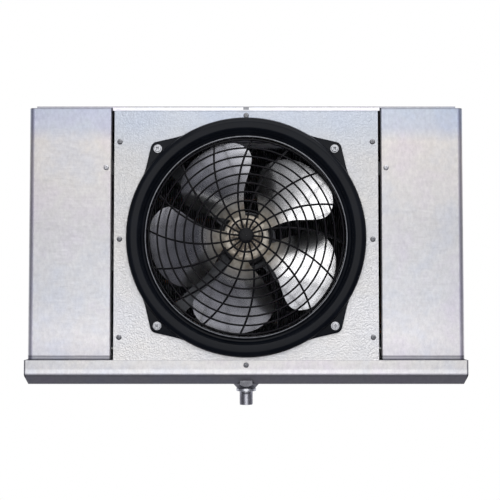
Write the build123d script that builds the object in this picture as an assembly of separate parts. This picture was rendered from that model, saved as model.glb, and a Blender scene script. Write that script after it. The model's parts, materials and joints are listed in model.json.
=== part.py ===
from build123d import *
import math
import os

# Walk-in unit cooler with one fan, hung from a ceiling.
# X runs to the right seen from the front, Y to the rear, Z up, in millimetres.
# The origin is the centre of the ceiling mounting plane, on top of the cabinet.

# --- Cabinet -------------------------------------------------------------
cabinet_width = 680.0        # over the two end covers
cabinet_depth = 380.0        # front face of the covers to the rear wall
cabinet_height = 396.5       # top panel to the lower edge of the covers
panel_margin = 19.6          # fan panel beyond the ring of the fan at each side
panel_sheet = 1.0            # top panel and fan panel
frame_sheet = 1.2            # end plates, covers and rails
rail_sheet = 2.5             # hanger rails
sheet_gap = 0.1              # between sheets that lie on each other
bend = 1.5                   # centre-line radius of a sheet bend
panel_setback = 2.5          # fan panel behind the front of the covers
panel_reveal = 4.4           # shadow gap between fan panel and cover
plate_inset = 1.4            # end plate inside the edge of the fan panel
plate_flange = 18.0          # front flange of the end plate
top_inset = 11.5             # top panel inside the covers at each side
top_front_flange = 7.0       # flange between the covers
top_cover_flange = 2.8       # lower flange above each cover
top_rear_flange = 12.0
cover_gap = 0.4              # cover below the flange of the top panel
cover_round = 8.0            # outer front corner of a cover
cover_return = 10.0          # inner edge of a cover turned back
cover_flange = 14.0          # top and bottom flanges of a cover
cover_hem = 18.0             # rear flange of a cover
rail_width = 78.0            # hanger rail under the top panel
rail_depth = 20.0
rail_end_gap = 1.5           # rail clear of the flange of the cover and of the rear wall
rail_corner = 3.0
angle_leg = 20.0             # legs of the top rail
rivet_pitch = 110.0          # rivets along each hanger rail
rear_leg = 22.0              # inward leg of the rear rail

# --- Ceiling fixing ------------------------------------------------------
hanger_out = 56.8            # slots outside the end plates
hanger_span_y = 260.0
slot_length = 19.0
slot_width = 11.0

# --- Screws --------------------------------------------------------------
panel_screw_inset = 8.6      # in from the edge of the fan panel
panel_screw_below_top = 56.0
panel_screw_above_bottom = 34.5
top_screw_z = -14.5
screw_shank_r = 2.0
screw_head_r = 4.2
screw_head_h = 1.9
screw_length = 9.0
screw_clearance = 0.15
cover_screw_inset = 8.0      # in from the inner edge of the cover
cover_screw_z = -97.0
rear_screw_below_top = 60.0
rear_screw_above_bottom = 66.5
clip_height = 20.0           # brackets behind the front screws of the covers
clip_reach = 17.0
clip_foot = 18.0             # leg on the end plate
clip_behind = 2.0            # behind the return of the cover
clip_edge_gap = 1.5
clip_bend = 1.2
flange_clip_z = -3.5         # push-in clip at the middle of the top flange
flange_clip_width = 9.0
flange_clip_height = 3.8
flange_clip_wall = 0.9
flange_clip_neck = 1.8
flange_clip_notch = 8.0      # opening for it in the top rail
rivet_r = 2.0
rivet_head_r = 3.6
rivet_head_h = 1.0

# --- Fan and its shroud --------------------------------------------------
fan_r = 152.4
fan_below_middle = 7.75      # axis below half the height of the cabinet
blade_count = 5
blade_sheet = 2.0
blade_pitch = 289.0          # axial travel of the blade face in one turn
camber_depth = 5.0
blade_root_r = 26.0          # inside the wall of the drum
blade_trim = 120.0           # length of the prism that trims a blade
blade_phase = 46.0
blade_behind_panel = 24.5    # plane about which the blades are twisted
blade_margin = 10.0          # sheet beyond the tip before it is trimmed
tip_clearance = 4.6
shroud_wall = 2.5
shroud_flare = 30.0          # outside of the ring beyond its throat
shroud_height = 18.0         # in front of the fan panel
shroud_shoulder = 9.0
shroud_crest = 18.0          # flat front of the ring
shroud_throat = 35.5         # behind the front of the fan panel
ledge_width = 2.0            # ledge in the throat that carries the guard
ledge_height = 3.0
shroud_clearance = 1.0       # throat in the hole of the fan panel
ear_out = 8.2                # screws of the four ears outside the ring
ear_r = 11.5
ear_height = 6.5
guard_screw_r = 3.0
guard_washer_r = 6.7
guard_washer_h = 1.4
guard_hex = 9.5
guard_hex_h = 4.6
nut_hex = 10.0
nut_h = 4.0

# --- Wire guard ----------------------------------------------------------
ring_wire_r = 1.25
spoke_wire_r = 1.4
rim_wire_r = 2.0
weld_gap = 0.05
ring_count = 10
first_ring_r = 25.0
last_ring_inset = 5.6        # from the rim
rim_inset = 0.4              # rim wire from the throat
guard_disc_r = 12.0
guard_disc_h = 2.0
spoke_count = 16
spoke_phase = -2.0
spoke_swirl = 25.0
spoke_start_r = 9.0
guard_dome = 33.0
dome_power = 2.3
rim_seat_gap = 0.15
spoke_end_gap = 0.3
ring_clearance = 0.35        # room for the curve of the spokes under a ring

# --- Fan hub and motor ---------------------------------------------------
drum_r = 36.0
drum_ahead = 14.0            # in front of the plane of the blades
drum_length = 27.0
drum_wall = 2.5
drum_round = 5.0
hub_r = 11.0
hub_flange_r = 19.0
hub_flange_h = 3.0
hub_stick_out = 2.0          # behind the drum
set_screw_r = 2.0
set_screw_place = 10.0       # from the back of the hub
shaft_r = 3.97
shaft_clearance = 0.05
motor_r = 42.0
motor_behind_hub = 14.0
motor_length = 72.0
motor_wall = 2.5
bell_thickness = 4.0
bearing_r = 8.0
bearing_length = 12.0
boss_r = 13.0
stator_length = 36.0
air_gap = 0.6
rotor_r = 23.4
core_fit = 0.1
motor_bolt_r = 2.5
motor_bolt_circle = 30.0
motor_bolt_length = 14.0
arm_width = 22.0
arm_sheet = 2.5
arm_setback = 19.2           # straps run back inside the screws of the ears
arm_bend = 6.0
foot_overhang = 11.8         # strap beyond the screw
mount_plate_r = 50.0
mount_bore_r = 14.0

# --- Coil ----------------------------------------------------------------
tube_r = 6.35
tube_wall = 0.8
tube_pitch = 38.1
row_pitch = 33.0
tubes_per_row = 9
circuits = 3
coil_setback = 65.0          # front row of tubes in front of the rear wall
fin_count = 20
fin_sheet = 0.6
fin_end_gap = 9.0
fin_above_bottom = 12.5
tube_clearance = 0.12
tube_stick_out = 6.0
socket_r = 7.9
socket_overlap = 5.0
header_out = 48.8            # outside the end plate
header_r = 11.1
header_wall = 1.1
header_top = -26.0
suction_above_bottom = 56.5
suction_bend = 28.0
pipe_stub = 32.0             # pipes stand out behind the rear wall
header_cup = 14.0
liquid_cup = 10.0
cup_clearance = 0.1
liquid_inset = 40.0          # in from the side of the cover
liquid_z = -60.0
liquid_r = 4.76
liquid_wall = 0.8
liquid_bend = 16.0
distributor_r = 9.5
distributor_top = -78.0
distributor_length = 26.0
distributor_neck = 6.0
distributor_cone = 8.0
distributor_wall = 1.2
distributor_socket = 4.0
feeder_r = 2.4
feeder_spread = 4.5
feeder_angle = 110.0
feeder_bend = 5.0
feeder_drop = 8.0            # straight run below the distributor
feeder_stagger = 6.0         # more for each further circuit
feeder_step = 9.0            # between the falling tubes
feeder_knee_height = 18.0
feeder_knee_run = 14.0
feeder_socket = 12.0
feeder_overlap = 3.0
grommet_wall = 3.0
grommet_lip = 2.0
valve_r = 3.5
valve_drop = 22.0            # below the top of the header
valve_stem = 9.0
valve_cap_hex = 10.0
valve_cap = 8.0

# --- Junction box --------------------------------------------------------
box_length = 100.0
box_height = 100.0
box_reach = 58.0
box_sheet = 1.2
box_lid_lip = 8.0
block_length = 64.0
block_height = 22.0
block_reach = 16.0
block_poles = 4
block_above_floor = 26.0
pocket_width = 11.5
pocket_height = 7.9
knockout_r = 11.1
knockout_out = 69.8          # outside the end plate
knockout_z = -150.0
entry_below_top = 20.0       # wire entry in the wall of the box
lead_r = 3.5
lead_run = 37.0              # behind the motor before it turns to the box
lead_start_x = -26.0
lead_bend = 18.0
lead_tail = 12.0             # inside the junction box
lead_grommet_r = 7.0
lead_grommet_flange = 2.5
lead_grommet_lip = 2.4

# --- Drain pan -----------------------------------------------------------
pan_overhang = 5.0           # beyond the covers at each side
pan_sheet = 1.0
pan_gap = 0.8                # below the covers
pan_front_gap = 0.5          # in front of the fan panel
pan_wall = 24.0              # straight part of the pan walls
pan_depth = 38.0             # rim to the bottom of the trough
pan_round = 5.0
trough_front = 15.0          # trough behind the front wall
trough_width = 28.0
pan_end_taper = 4.0
pan_screw_below_rim = 7.7
pan_screw_r = 1.75
pan_slot_top = 3.0           # slot edge above the screw
pan_slot_width = 6.0
panel_overlap = 15.0         # fan panel below the pan rim
pan_nut_hex = 7.0
pan_nut_h = 3.0
pan_nut_gap = 0.4
drain_behind_wall = 26.0
nipple_r = 10.65
nipple_root_r = 10.4         # part inside the coupling and the lock nut
nipple_bore_r = 7.9
nipple_length = 33.0         # below the trough
coupling_hex = 34.0
coupling_depth = 7.0         # below the trough
coupling_reach = 12.0        # above the trough, up to the slope of the pan
coupling_taper = 2.6
coupling_flare = 14.0
collar_r = 15.5
collar_h = 4.5
thread_clearance = 0.06

# --- Pan hinges ----------------------------------------------------------
hinge_x = 150.0
hinge_behind = 7.0           # axis behind the rear wall
hinge_below = 6.5            # axis below the covers
hinge_length = 44.0
knuckle_r = 4.0
pan_knuckle = 16.0
knuckle_gap = 0.4
pin_r = 1.75
pin_clearance = 0.05
pin_head_r = 3.0
leaf_sheet = 1.5
leaf_height = 11.0
leaf_gap = 0.5
shelf_rise = 3.0             # arm of the fixed leaf above its lower edge
pin_head_h = 1.2
pin_overhang = 0.8

# --- Worked-out places ---------------------------------------------------
y_front = -cabinet_depth / 2
y_rear = cabinet_depth / 2
half_width = cabinet_width / 2
z_bottom = -cabinet_height
panel_y = y_front + panel_setback
panel_back = panel_y + panel_sheet
cover_top = -(top_cover_flange + cover_gap)
frame_top = -(panel_sheet + sheet_gap)
sheet_top = frame_top - bend                         # upright sheets stay clear of the bends
fan_z = -(cabinet_height / 2 + fan_below_middle)
throat_r = fan_r + tip_clearance
ledge_r = throat_r - ledge_width
rim_r = throat_r - rim_inset
last_ring_r = rim_r - last_ring_inset
shroud_r = throat_r + shroud_flare
shroud_crest_r = shroud_r - shroud_crest
ear_circle_r = shroud_r + ear_out
ear_place = ear_circle_r / math.sqrt(2)
arm_r = ear_circle_r - arm_setback
foot_end_r = ear_circle_r + foot_overhang
panel_edge_x = shroud_r + panel_margin
cover_inner_x = panel_edge_x + panel_reveal
plate_x = panel_edge_x - plate_inset                 # outer face of the end plate
panel_screw_x = panel_edge_x - panel_screw_inset
panel_screw_top = -panel_screw_below_top
panel_screw_bottom = z_bottom + panel_screw_above_bottom
panel_screw_z = (panel_screw_top, (panel_screw_top + panel_screw_bottom) / 2, panel_screw_bottom)
rear_screw_z = (-rear_screw_below_top, z_bottom + rear_screw_above_bottom)
hanger_x = plate_x + hanger_out
blade_y = panel_y + blade_behind_panel
shroud_throat_end = panel_y + shroud_throat
drum_front = blade_y - drum_ahead
drum_back = drum_front + drum_length
hub_back = drum_back + hub_stick_out
motor_front = hub_back + motor_behind_hub
panel_hole_r = throat_r + shroud_wall + shroud_clearance
pan_rim = z_bottom - pan_gap
pan_front = panel_y - pan_front_gap - pan_sheet
pan_rear = y_rear + pan_sheet
pan_half = half_width + pan_overhang
pan_floor = pan_rim - pan_depth
pan_screw_z = pan_rim - pan_screw_below_rim
panel_bottom = pan_rim - panel_overlap
drain_y = pan_front + drain_behind_wall
hinge_y = y_rear + hinge_behind
hinge_z = z_bottom - hinge_below
coil_front_row_y = y_rear - coil_setback
fin_bottom = z_bottom + fin_above_bottom
fin_height = tube_pitch * (tubes_per_row + 0.5)
fin_front = coil_front_row_y - row_pitch / 2
fin_back = fin_front + 2 * row_pitch
rear_row_y = coil_front_row_y + row_pitch
tube_end_x = plate_x + tube_stick_out
header_x = plate_x + header_out
suction_z = z_bottom + suction_above_bottom
liquid_x = half_width - liquid_inset
knockout_x = -(plate_x + knockout_out)
motor_back = motor_front + motor_length
plate_of_mount = motor_back + bell_thickness
seat_y = panel_back + sheet_gap
lead_y = motor_back + lead_run
box_front = lead_y - box_length / 2
box_back = lead_y + box_length / 2
box_top = fan_z + box_height / 2
box_bottom = fan_z - box_height / 2


# --- Helpers -------------------------------------------------------------
def block(x0, x1, y0, y1, z0, z1):
    """A box given by its faces."""
    middle = Pos((x0 + x1) / 2, (y0 + y1) / 2, (z0 + z1) / 2)
    return middle * Box(abs(x1 - x0), abs(y1 - y0), abs(z1 - z0))


def rod(radius, start, direction, length):
    """A cylinder that starts at a point and runs in a direction."""
    base = Plane(origin=start, z_dir=direction)
    return base * Cylinder(radius, length, align=(Align.CENTER, Align.CENTER, Align.MIN))


def hexagon(across_flats, start, direction, length):
    """A hexagonal prism that starts at a point and runs in a direction."""
    base = Plane(origin=start, z_dir=direction)
    return extrude(base * RegularPolygon(across_flats / 2, 6, major_radius=False), length)


def strip(points, thickness, plane, start, end, radius=bend):
    """Bent sheet: a centre line of the given thickness, drawn on a plane and extruded."""
    outline = trace(FilletPolyline(*points, radius=radius), thickness)
    return extrude(plane.offset(start) * outline, end - start)


def pipe(points, radius, corner, bore=0.0):
    """A round pipe along straight runs joined by bends."""
    path = FilletPolyline(*points, radius=corner) if len(points) > 2 else Line(*points)
    section = Circle(radius)
    if bore > 0:
        section = section - Circle(bore)
    return sweep(Plane(origin=path @ 0, z_dir=path % 0) * section, path=path)


def mirrored(part):
    """The same part on the other side of the centre line."""
    return mirror(part, about=Plane.YZ)


def both_sides(part):
    return [part, mirrored(part)]


def screw(start, direction, length=screw_length, shank_r=screw_shank_r):
    """Pan-head screw: the head stands on the start point, the shank runs in the direction."""
    back = (-direction[0], -direction[1], -direction[2])
    head = rod(screw_head_r, start, back, screw_head_h)
    rim = head.edges().filter_by(GeomType.CIRCLE).sort_by(Axis(start, back))[-1]
    return fillet(rim, screw_head_h * 0.6) + rod(shank_r, start, direction, length)


# --- Cabinet parts -------------------------------------------------------
def make_top_panel():
    front = panel_y - sheet_gap - panel_sheet / 2
    back = y_rear + sheet_gap + panel_sheet / 2
    top = -panel_sheet / 2
    points = [(front, -top_front_flange), (front, top), (back, top), (back, -top_rear_flange)]
    half = half_width - top_inset
    panel = strip(points, panel_sheet, Plane.YZ, -half, half)
    for side in (-1, 1):
        inner = side * (cover_inner_x - cover_gap * 4)
        outer = side * (half + 1)
        panel -= block(inner, outer, front - 5, front + 5, -top_front_flange - 1, -top_cover_flange)
        panel -= block(inner, outer, back - frame_sheet, back + 5, -top_rear_flange - 1, -panel_sheet)
    for x in (-hanger_x, hanger_x):
        for y in (-hanger_span_y / 2, hanger_span_y / 2):
            panel -= Pos(x, y, -panel_sheet) * extrude(SlotOverall(slot_length, slot_width), panel_sheet)
    return panel - clip_hole()


def clip_hole():
    """Square hole for the push-in clip through the top flange and the fan panel."""
    half = flange_clip_neck / 2 + screw_clearance
    return block(-half, half, panel_y - 5, panel_back + 5, flange_clip_z - half, flange_clip_z + half)


def make_flange_clip():
    """Head on the top flange, neck through both sheets, and a narrower foot behind them."""
    front = panel_y - sheet_gap - panel_sheet - sheet_gap
    back = panel_back + sheet_gap
    neck = flange_clip_neck
    head = Box(flange_clip_width, flange_clip_wall, flange_clip_height)
    foot = Box(flange_clip_width * 2 / 3, flange_clip_wall, flange_clip_height)
    clip = block(-neck / 2, neck / 2, front, back, flange_clip_z - neck / 2, flange_clip_z + neck / 2)
    clip += Pos(0, front - flange_clip_wall / 2, flange_clip_z) * head
    return clip + Pos(0, back + flange_clip_wall / 2, flange_clip_z) * foot


def make_fan_panel():
    panel = block(-panel_edge_x, panel_edge_x, panel_y, panel_back, panel_bottom, sheet_top)
    panel -= rod(panel_hole_r, (0, panel_y - 1, fan_z), (0, 1, 0), panel_sheet + 2)
    for x, z in panel_screw_places():
        panel -= rod(screw_shank_r + screw_clearance, (x, panel_y - 1, z), (0, 1, 0), panel_sheet + 2)
    for x, z in ear_places():
        panel -= rod(guard_screw_r + screw_clearance, (x, panel_y - 1, z), (0, 1, 0), panel_sheet + 2)
    slot = pan_slot_width / 2
    panel -= block(-slot, slot, panel_y - 1, panel_back + 1, panel_bottom - 1, pan_screw_z + pan_slot_top)
    return panel - clip_hole()


def panel_screw_places():
    sides = [(side * panel_screw_x, z) for side in (-1, 1) for z in panel_screw_z]
    return sides + [(0, top_screw_z)]


def ear_places():
    return [(x * ear_place, fan_z + z * ear_place) for x in (-1, 1) for z in (-1, 1)]


def make_end_plate():
    """Right-hand end plate: tube sheet, front flange and rear wall of the end compartment."""
    centre_x = plate_x - frame_sheet / 2
    flange_y = seat_y + frame_sheet / 2
    wall_y = y_rear - frame_sheet / 2
    wall_end = half_width - frame_sheet - sheet_gap - 0.5
    points = [(plate_x - plate_flange, flange_y), (centre_x, flange_y)]
    points += [(centre_x, wall_y), (wall_end, wall_y)]
    plate = strip(points, frame_sheet, Plane.XY, z_bottom, sheet_top)
    for y, z in tube_places():
        plate -= rod(tube_r + tube_clearance, (plate_x - 5, y, z), (1, 0, 0), 10)
    for z in panel_screw_z:
        plate -= rod(screw_shank_r + screw_clearance, (panel_screw_x, seat_y - 1, z), (0, 1, 0), 5)
    for z in rear_screw_z:
        plate -= rod(screw_shank_r + screw_clearance, (rear_screw_x(), y_rear - 5, z), (0, 1, 0), 10)
    for z in rivet_levels():
        for y in rail_rivet_y():
            plate -= rod(rivet_r, (plate_x - 5, y, z), (1, 0, 0), 10)
    return plate


def rear_screw_x():
    return half_width - cover_hem / 2


def rivet_levels():
    return [frame_top - rail_depth * 0.6]


def rail_rivet_y():
    return [-rivet_pitch, 0.0, rivet_pitch]


def make_right_end_plate():
    plate = make_end_plate()
    plate -= rod(header_r + grommet_wall, (header_x, y_rear - 5, suction_z), (0, 1, 0), 10)
    return plate - rod(liquid_r + grommet_wall, (liquid_x, y_rear - 5, liquid_z), (0, 1, 0), 10)


def make_left_end_plate():
    plate = mirrored(make_end_plate())
    plate -= rod(knockout_r, (knockout_x, y_rear - 5, knockout_z), (0, 1, 0), 10)
    return plate - rod(lead_grommet_r, (-plate_x - 5, lead_y, fan_z), (1, 0, 0), 10)


def make_end_cover():
    """Right-hand cover: front, side, rear hem, and flanges at top and bottom."""
    middle = frame_sheet / 2
    front = y_front + middle
    side = half_width - middle
    rear = y_rear + sheet_gap + middle
    inner = cover_inner_x + middle
    points = [(inner, y_front + cover_return), (inner, front), (side, front), (side, rear)]
    points.append((half_width - cover_hem, rear))
    corners = [bend, cover_round - middle, bend]
    wrap = strip(points, frame_sheet, Plane.XY, z_bottom, cover_top, radius=corners)
    return wrap + cover_lip(cover_top - frame_sheet) + cover_lip(z_bottom) - cover_holes()


def cover_lip(level):
    """Flange along the front and the side of a cover, inside its sheet."""
    inner = cover_inner_x + frame_sheet
    outer = half_width - 0.5 * frame_sheet
    front = y_front + 0.5 * frame_sheet
    lip = block(inner, outer, front, front + cover_flange, level, level + frame_sheet)
    lip += block(outer - cover_flange, outer, front, y_rear - frame_sheet - 1, level, level + frame_sheet)
    corner = lip.edges().filter_by(Axis.Z).sort_by(lambda e: e.center().X - e.center().Y)[-1]
    return fillet(corner, cover_round - 0.5 * frame_sheet)


def cover_holes():
    hole_r = screw_shank_r + screw_clearance
    x = cover_inner_x + cover_screw_inset
    holes = rod(hole_r, (x, y_front - 5, cover_screw_z), (0, 1, 0), 9)
    for z in rear_screw_z:
        holes += rod(hole_r, (rear_screw_x(), y_rear - 5, z), (0, 1, 0), 10)
    return holes


def make_cover_clips():
    """Brackets on the end plates that take the front screw of each cover."""
    middle = frame_sheet / 2
    web = plate_x + sheet_gap + middle
    step = y_front + cover_return + clip_behind + middle
    tab = y_front + frame_sheet + sheet_gap + middle
    reach = cover_inner_x + clip_reach
    points = [(web, step + clip_foot), (web, step), (reach, step), (reach, tab)]
    points.append((cover_inner_x + frame_sheet + clip_edge_gap, tab))
    low = cover_screw_z - clip_height / 2
    clip = strip(points, frame_sheet, Plane.XY, low, low + clip_height, radius=clip_bend)
    x = cover_inner_x + cover_screw_inset
    clip -= rod(screw_shank_r + screw_clearance, (x, y_front, cover_screw_z), (0, 1, 0), 5)
    return both_sides(clip)


def make_cover_screws():
    x = cover_inner_x + cover_screw_inset
    front = screw((x, y_front, cover_screw_z), (0, 1, 0), length=7.0)
    rear_face = y_rear + sheet_gap + frame_sheet
    screws = both_sides(front)
    for z in rear_screw_z:
        screws += both_sides(screw((rear_screw_x(), rear_face, z), (0, -1, 0)))
    return screws


def make_panel_screws():
    return [screw((x, panel_y, z), (0, 1, 0)) for x, z in panel_screw_places()]


def make_hanger_rail():
    """Right-hand rail: it lies under the top panel and is riveted to the end plate."""
    middle = rail_sheet / 2
    web = plate_x + sheet_gap + middle
    top = frame_top - middle
    low = frame_top - rail_depth
    far = plate_x + rail_width
    points = [(web, low), (web, top), (far, top), (far, low)]
    start = y_front + frame_sheet + cover_flange + rail_end_gap
    end = y_rear - frame_sheet - rail_end_gap
    rail = strip(points, rail_sheet, Plane.XZ, -end, -start, radius=rail_corner)
    for y in (-hanger_span_y / 2, hanger_span_y / 2):
        slot = extrude(SlotOverall(slot_length, slot_width), rail_sheet + 2)
        rail -= Pos(hanger_x, y, frame_top - rail_sheet - 1) * slot
    for y in rail_rivet_y():
        rail -= rod(rivet_r, (plate_x - 5, y, rivet_levels()[0]), (1, 0, 0), 12)
    return rail


def make_frame_rivets():
    """Rivets between each end plate and its hanger rail."""
    inside = plate_x - frame_sheet
    grip = frame_sheet + sheet_gap + rail_sheet
    rivets = []
    for y in rail_rivet_y():
        start = (inside, y, rivet_levels()[0])
        rivet = rod(rivet_r - 0.05, start, (1, 0, 0), grip)
        rivet += rod(rivet_head_r, start, (-1, 0, 0), rivet_head_h)
        rivet += rod(rivet_head_r, (inside + grip, y, rivet_levels()[0]), (1, 0, 0), rivet_head_h)
        rivets += both_sides(rivet)
    return rivets


def make_top_rail():
    """Angle behind the top edge of the fan panel."""
    middle = frame_sheet / 2
    half = plate_x - plate_flange - 2
    y = seat_y + middle
    top = frame_top - middle
    points = [(y, top - angle_leg), (y, top), (y + angle_leg, top)]
    rail = strip(points, frame_sheet, Plane.YZ, -half, half)
    rail -= rod(screw_shank_r + screw_clearance, (0, seat_y - 1, top_screw_z), (0, 1, 0), 5)
    half = flange_clip_notch / 2
    return rail - block(-half, half, seat_y - 1, seat_y + 5, flange_clip_z - half, frame_top + 1)


def make_rear_rail():
    """Angle under the rear edge of the coil, which also carries the pan hinges."""
    middle = frame_sheet / 2
    half = plate_x - frame_sheet - 0.5
    y = y_rear - middle
    shelf = fin_bottom - sheet_gap - middle
    points = [(y, z_bottom), (y, shelf), (y - rear_leg, shelf)]
    return strip(points, frame_sheet, Plane.YZ, -half, half)


# --- Coil ----------------------------------------------------------------
def tube_z(index, row):
    """Height of a tube: the two rows are staggered by half a pitch."""
    return fin_bottom + tube_pitch * (index + 0.5 + 0.5 * row)


def tube_places():
    rear = [(rear_row_y, tube_z(i, 0)) for i in range(tubes_per_row)]
    front = [(coil_front_row_y, tube_z(i, 1)) for i in range(tubes_per_row)]
    return rear + front


def circuit_length():
    return tubes_per_row // circuits


def make_coil_fins():
    """Every fin has a punched hole for each tube."""
    centre = Pos((fin_front + fin_back) / 2, fin_bottom + fin_height / 2)
    sketch = centre * Rectangle(2 * row_pitch, fin_height)
    for y, z in tube_places():
        sketch -= Pos(y, z) * Circle(tube_r + tube_clearance)
    span = 2 * (plate_x - frame_sheet - fin_end_gap) - fin_sheet
    first = -span / 2 - fin_sheet / 2
    step = span / (fin_count - 1)
    return [extrude(Plane.YZ.offset(first + i * step) * sketch, fin_sheet) for i in range(fin_count)]


def make_coil_tubes():
    """Straight tubes; the circuit outlets run on into the suction header."""
    outlets = [tube_z(i, 1) for i in range(circuit_length() - 1, tubes_per_row, circuit_length())]
    tubes = []
    for y, z in tube_places():
        is_outlet = y == coil_front_row_y and z in outlets
        end = header_x - header_r - socket_overlap if is_outlet else tube_end_x
        tubes.append(pipe([(-tube_end_x, y, z), (end, y, z)], tube_r, 0, tube_r - tube_wall))
    return tubes


def return_bend(start, end, side):
    """Half-round bend between two tube ends."""
    middle = (Vector(*start) + Vector(*end)) * 0.5
    reach = (Vector(*end) - Vector(*start)).length / 2
    top = middle + Vector(side * reach, 0, 0)
    path = ThreePointArc(start, top, end)
    return sweep(Plane(origin=path @ 0, z_dir=path % 0) * Circle(tube_r), path=path)


def make_return_bends():
    bends = []
    for i in range(tubes_per_row):
        rear = (-tube_end_x, rear_row_y, tube_z(i, 0))
        front = (-tube_end_x, coil_front_row_y, tube_z(i, 1))
        bends.append(return_bend(rear, front, -1))
        if (i + 1) % circuit_length() != 0:
            start = (tube_end_x, coil_front_row_y, tube_z(i, 1))
            end = (tube_end_x, rear_row_y, tube_z(i + 1, 0))
            bends.append(return_bend(start, end, 1))
    return bends


def make_suction_header():
    """Vertical header that turns to the rear, with a socket for each circuit."""
    outlet_y = y_rear + pipe_stub
    points = [(header_x, coil_front_row_y, header_top), (header_x, coil_front_row_y, suction_z)]
    points.append((header_x, outlet_y, suction_z))
    bore = header_r - header_wall
    header = pipe(points, header_r, suction_bend)
    hollow = pipe(points, bore, suction_bend)
    start = header_x - header_r - 2 * socket_overlap
    for i in range(circuit_length() - 1, tubes_per_row, circuit_length()):
        place = (start, coil_front_row_y, tube_z(i, 1))
        header += rod(socket_r, place, (1, 0, 0), header_x - start)
        hollow += rod(tube_r + tube_clearance, place, (1, 0, 0), header_x - start)
    header += cup((header_x, outlet_y, suction_z), header_r, header_wall, header_cup)
    mouth = (header_x, outlet_y - header_cup, suction_z)
    hollow += rod(header_r + cup_clearance, mouth, (0, 1, 0), header_cup)
    header -= hollow
    return header + rod(header_r, (header_x, coil_front_row_y, header_top), (0, 0, 1), header_wall)


def cup(end, pipe_r, wall, depth):
    """Widened end of a pipe, which takes a field pipe of the same size."""
    return rod(pipe_r + cup_clearance + wall, end, (0, -1, 0), depth + wall)


def make_service_valve():
    """Access valve with its cap on the side of the suction header."""
    z = header_top - valve_drop
    start = header_x + header_r + weld_gap
    valve = rod(valve_r, (start, coil_front_row_y, z), (1, 0, 0), valve_stem)
    return valve + hexagon(valve_cap_hex, (start + valve_stem, coil_front_row_y, z), (1, 0, 0), valve_cap)


def make_liquid_line():
    outlet_y = y_rear + pipe_stub
    points = [(liquid_x, outlet_y, liquid_z), (liquid_x, rear_row_y, liquid_z)]
    points.append((liquid_x, rear_row_y, distributor_top))
    line = pipe(points, liquid_r, liquid_bend)
    line += cup((liquid_x, outlet_y, liquid_z), liquid_r, liquid_wall, liquid_cup)
    line -= pipe(points, liquid_r - liquid_wall, liquid_bend)
    return line - rod(liquid_r + cup_clearance, (liquid_x, outlet_y - liquid_cup, liquid_z), (0, 1, 0), 20)


def make_distributor():
    """Turned brass cone; the liquid line enters above, the feeder tubes leave below."""
    low = distributor_top - distributor_length
    neck_r = liquid_r + distributor_wall
    shoulder = -(distributor_neck + distributor_cone)
    points = [(0, 0), (neck_r, 0), (neck_r, -distributor_neck), (distributor_r, shoulder)]
    points += [(distributor_r, -distributor_length), (0, -distributor_length), (0, 0)]
    turned = revolve(Plane.XZ * make_face(Polyline(*points)), Axis.Z)
    body = Pos(liquid_x, rear_row_y, distributor_top) * turned
    socket = (liquid_x, rear_row_y, distributor_top - distributor_socket)
    body -= rod(liquid_r + tube_clearance, socket, (0, 0, 1), distributor_socket + 1)
    for x, y in feeder_roots():
        body -= rod(feeder_r + tube_clearance, (x, y, low - 1), (0, 0, 1), distributor_socket + 2)
    return body


def feeder_roots():
    """Where the feeder tubes leave the distributor."""
    roots = []
    for k in range(circuits):
        angle = math.radians(180 + (k - 1) * feeder_angle)
        x = liquid_x + feeder_spread * math.cos(angle)
        roots.append((x, rear_row_y + feeder_spread * math.sin(angle)))
    return roots


def make_feeder_tubes():
    """One thin tube from the distributor to the inlet of each circuit."""
    low = distributor_top - distributor_length
    tubes = []
    for k, (x, y) in enumerate(feeder_roots()):
        z = tube_z(k * circuit_length(), 0)
        knee = header_x + (circuits - k) * feeder_step
        socket_x = tube_end_x - feeder_overlap
        points = [(x, y, low + distributor_socket), (x, y, low - feeder_drop - feeder_stagger * k)]
        points += [(knee, rear_row_y, z + feeder_knee_height), (knee - feeder_knee_run, rear_row_y, z)]
        points.append((socket_x + feeder_socket / 2, rear_row_y, z))
        tube = pipe(points, feeder_r, feeder_bend)
        tube += rod(socket_r, (socket_x, rear_row_y, z), (1, 0, 0), feeder_socket)
        tube -= rod(tube_r + tube_clearance, (socket_x - 1, rear_row_y, z), (1, 0, 0), feeder_overlap + 1.5)
        tubes.append(tube)
    return tubes


def grommet(x, z, pipe_r):
    """Rubber grommet in the rear wall round a pipe."""
    start = (x, y_rear - frame_sheet - grommet_lip, z)
    ring = rod(pipe_r + grommet_wall - 0.1, start, (0, 1, 0), frame_sheet + 2 * grommet_lip)
    lip_r = pipe_r + grommet_wall + 3
    ring += rod(lip_r, start, (0, 1, 0), grommet_lip - sheet_gap)
    ring += rod(lip_r, (x, y_rear + sheet_gap, z), (0, 1, 0), grommet_lip - sheet_gap)
    return ring - rod(pipe_r + 0.1, start, (0, 1, 0), 20)


def make_pipe_grommets():
    return [grommet(header_x, suction_z, header_r), grommet(liquid_x, liquid_z, liquid_r)]


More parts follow.
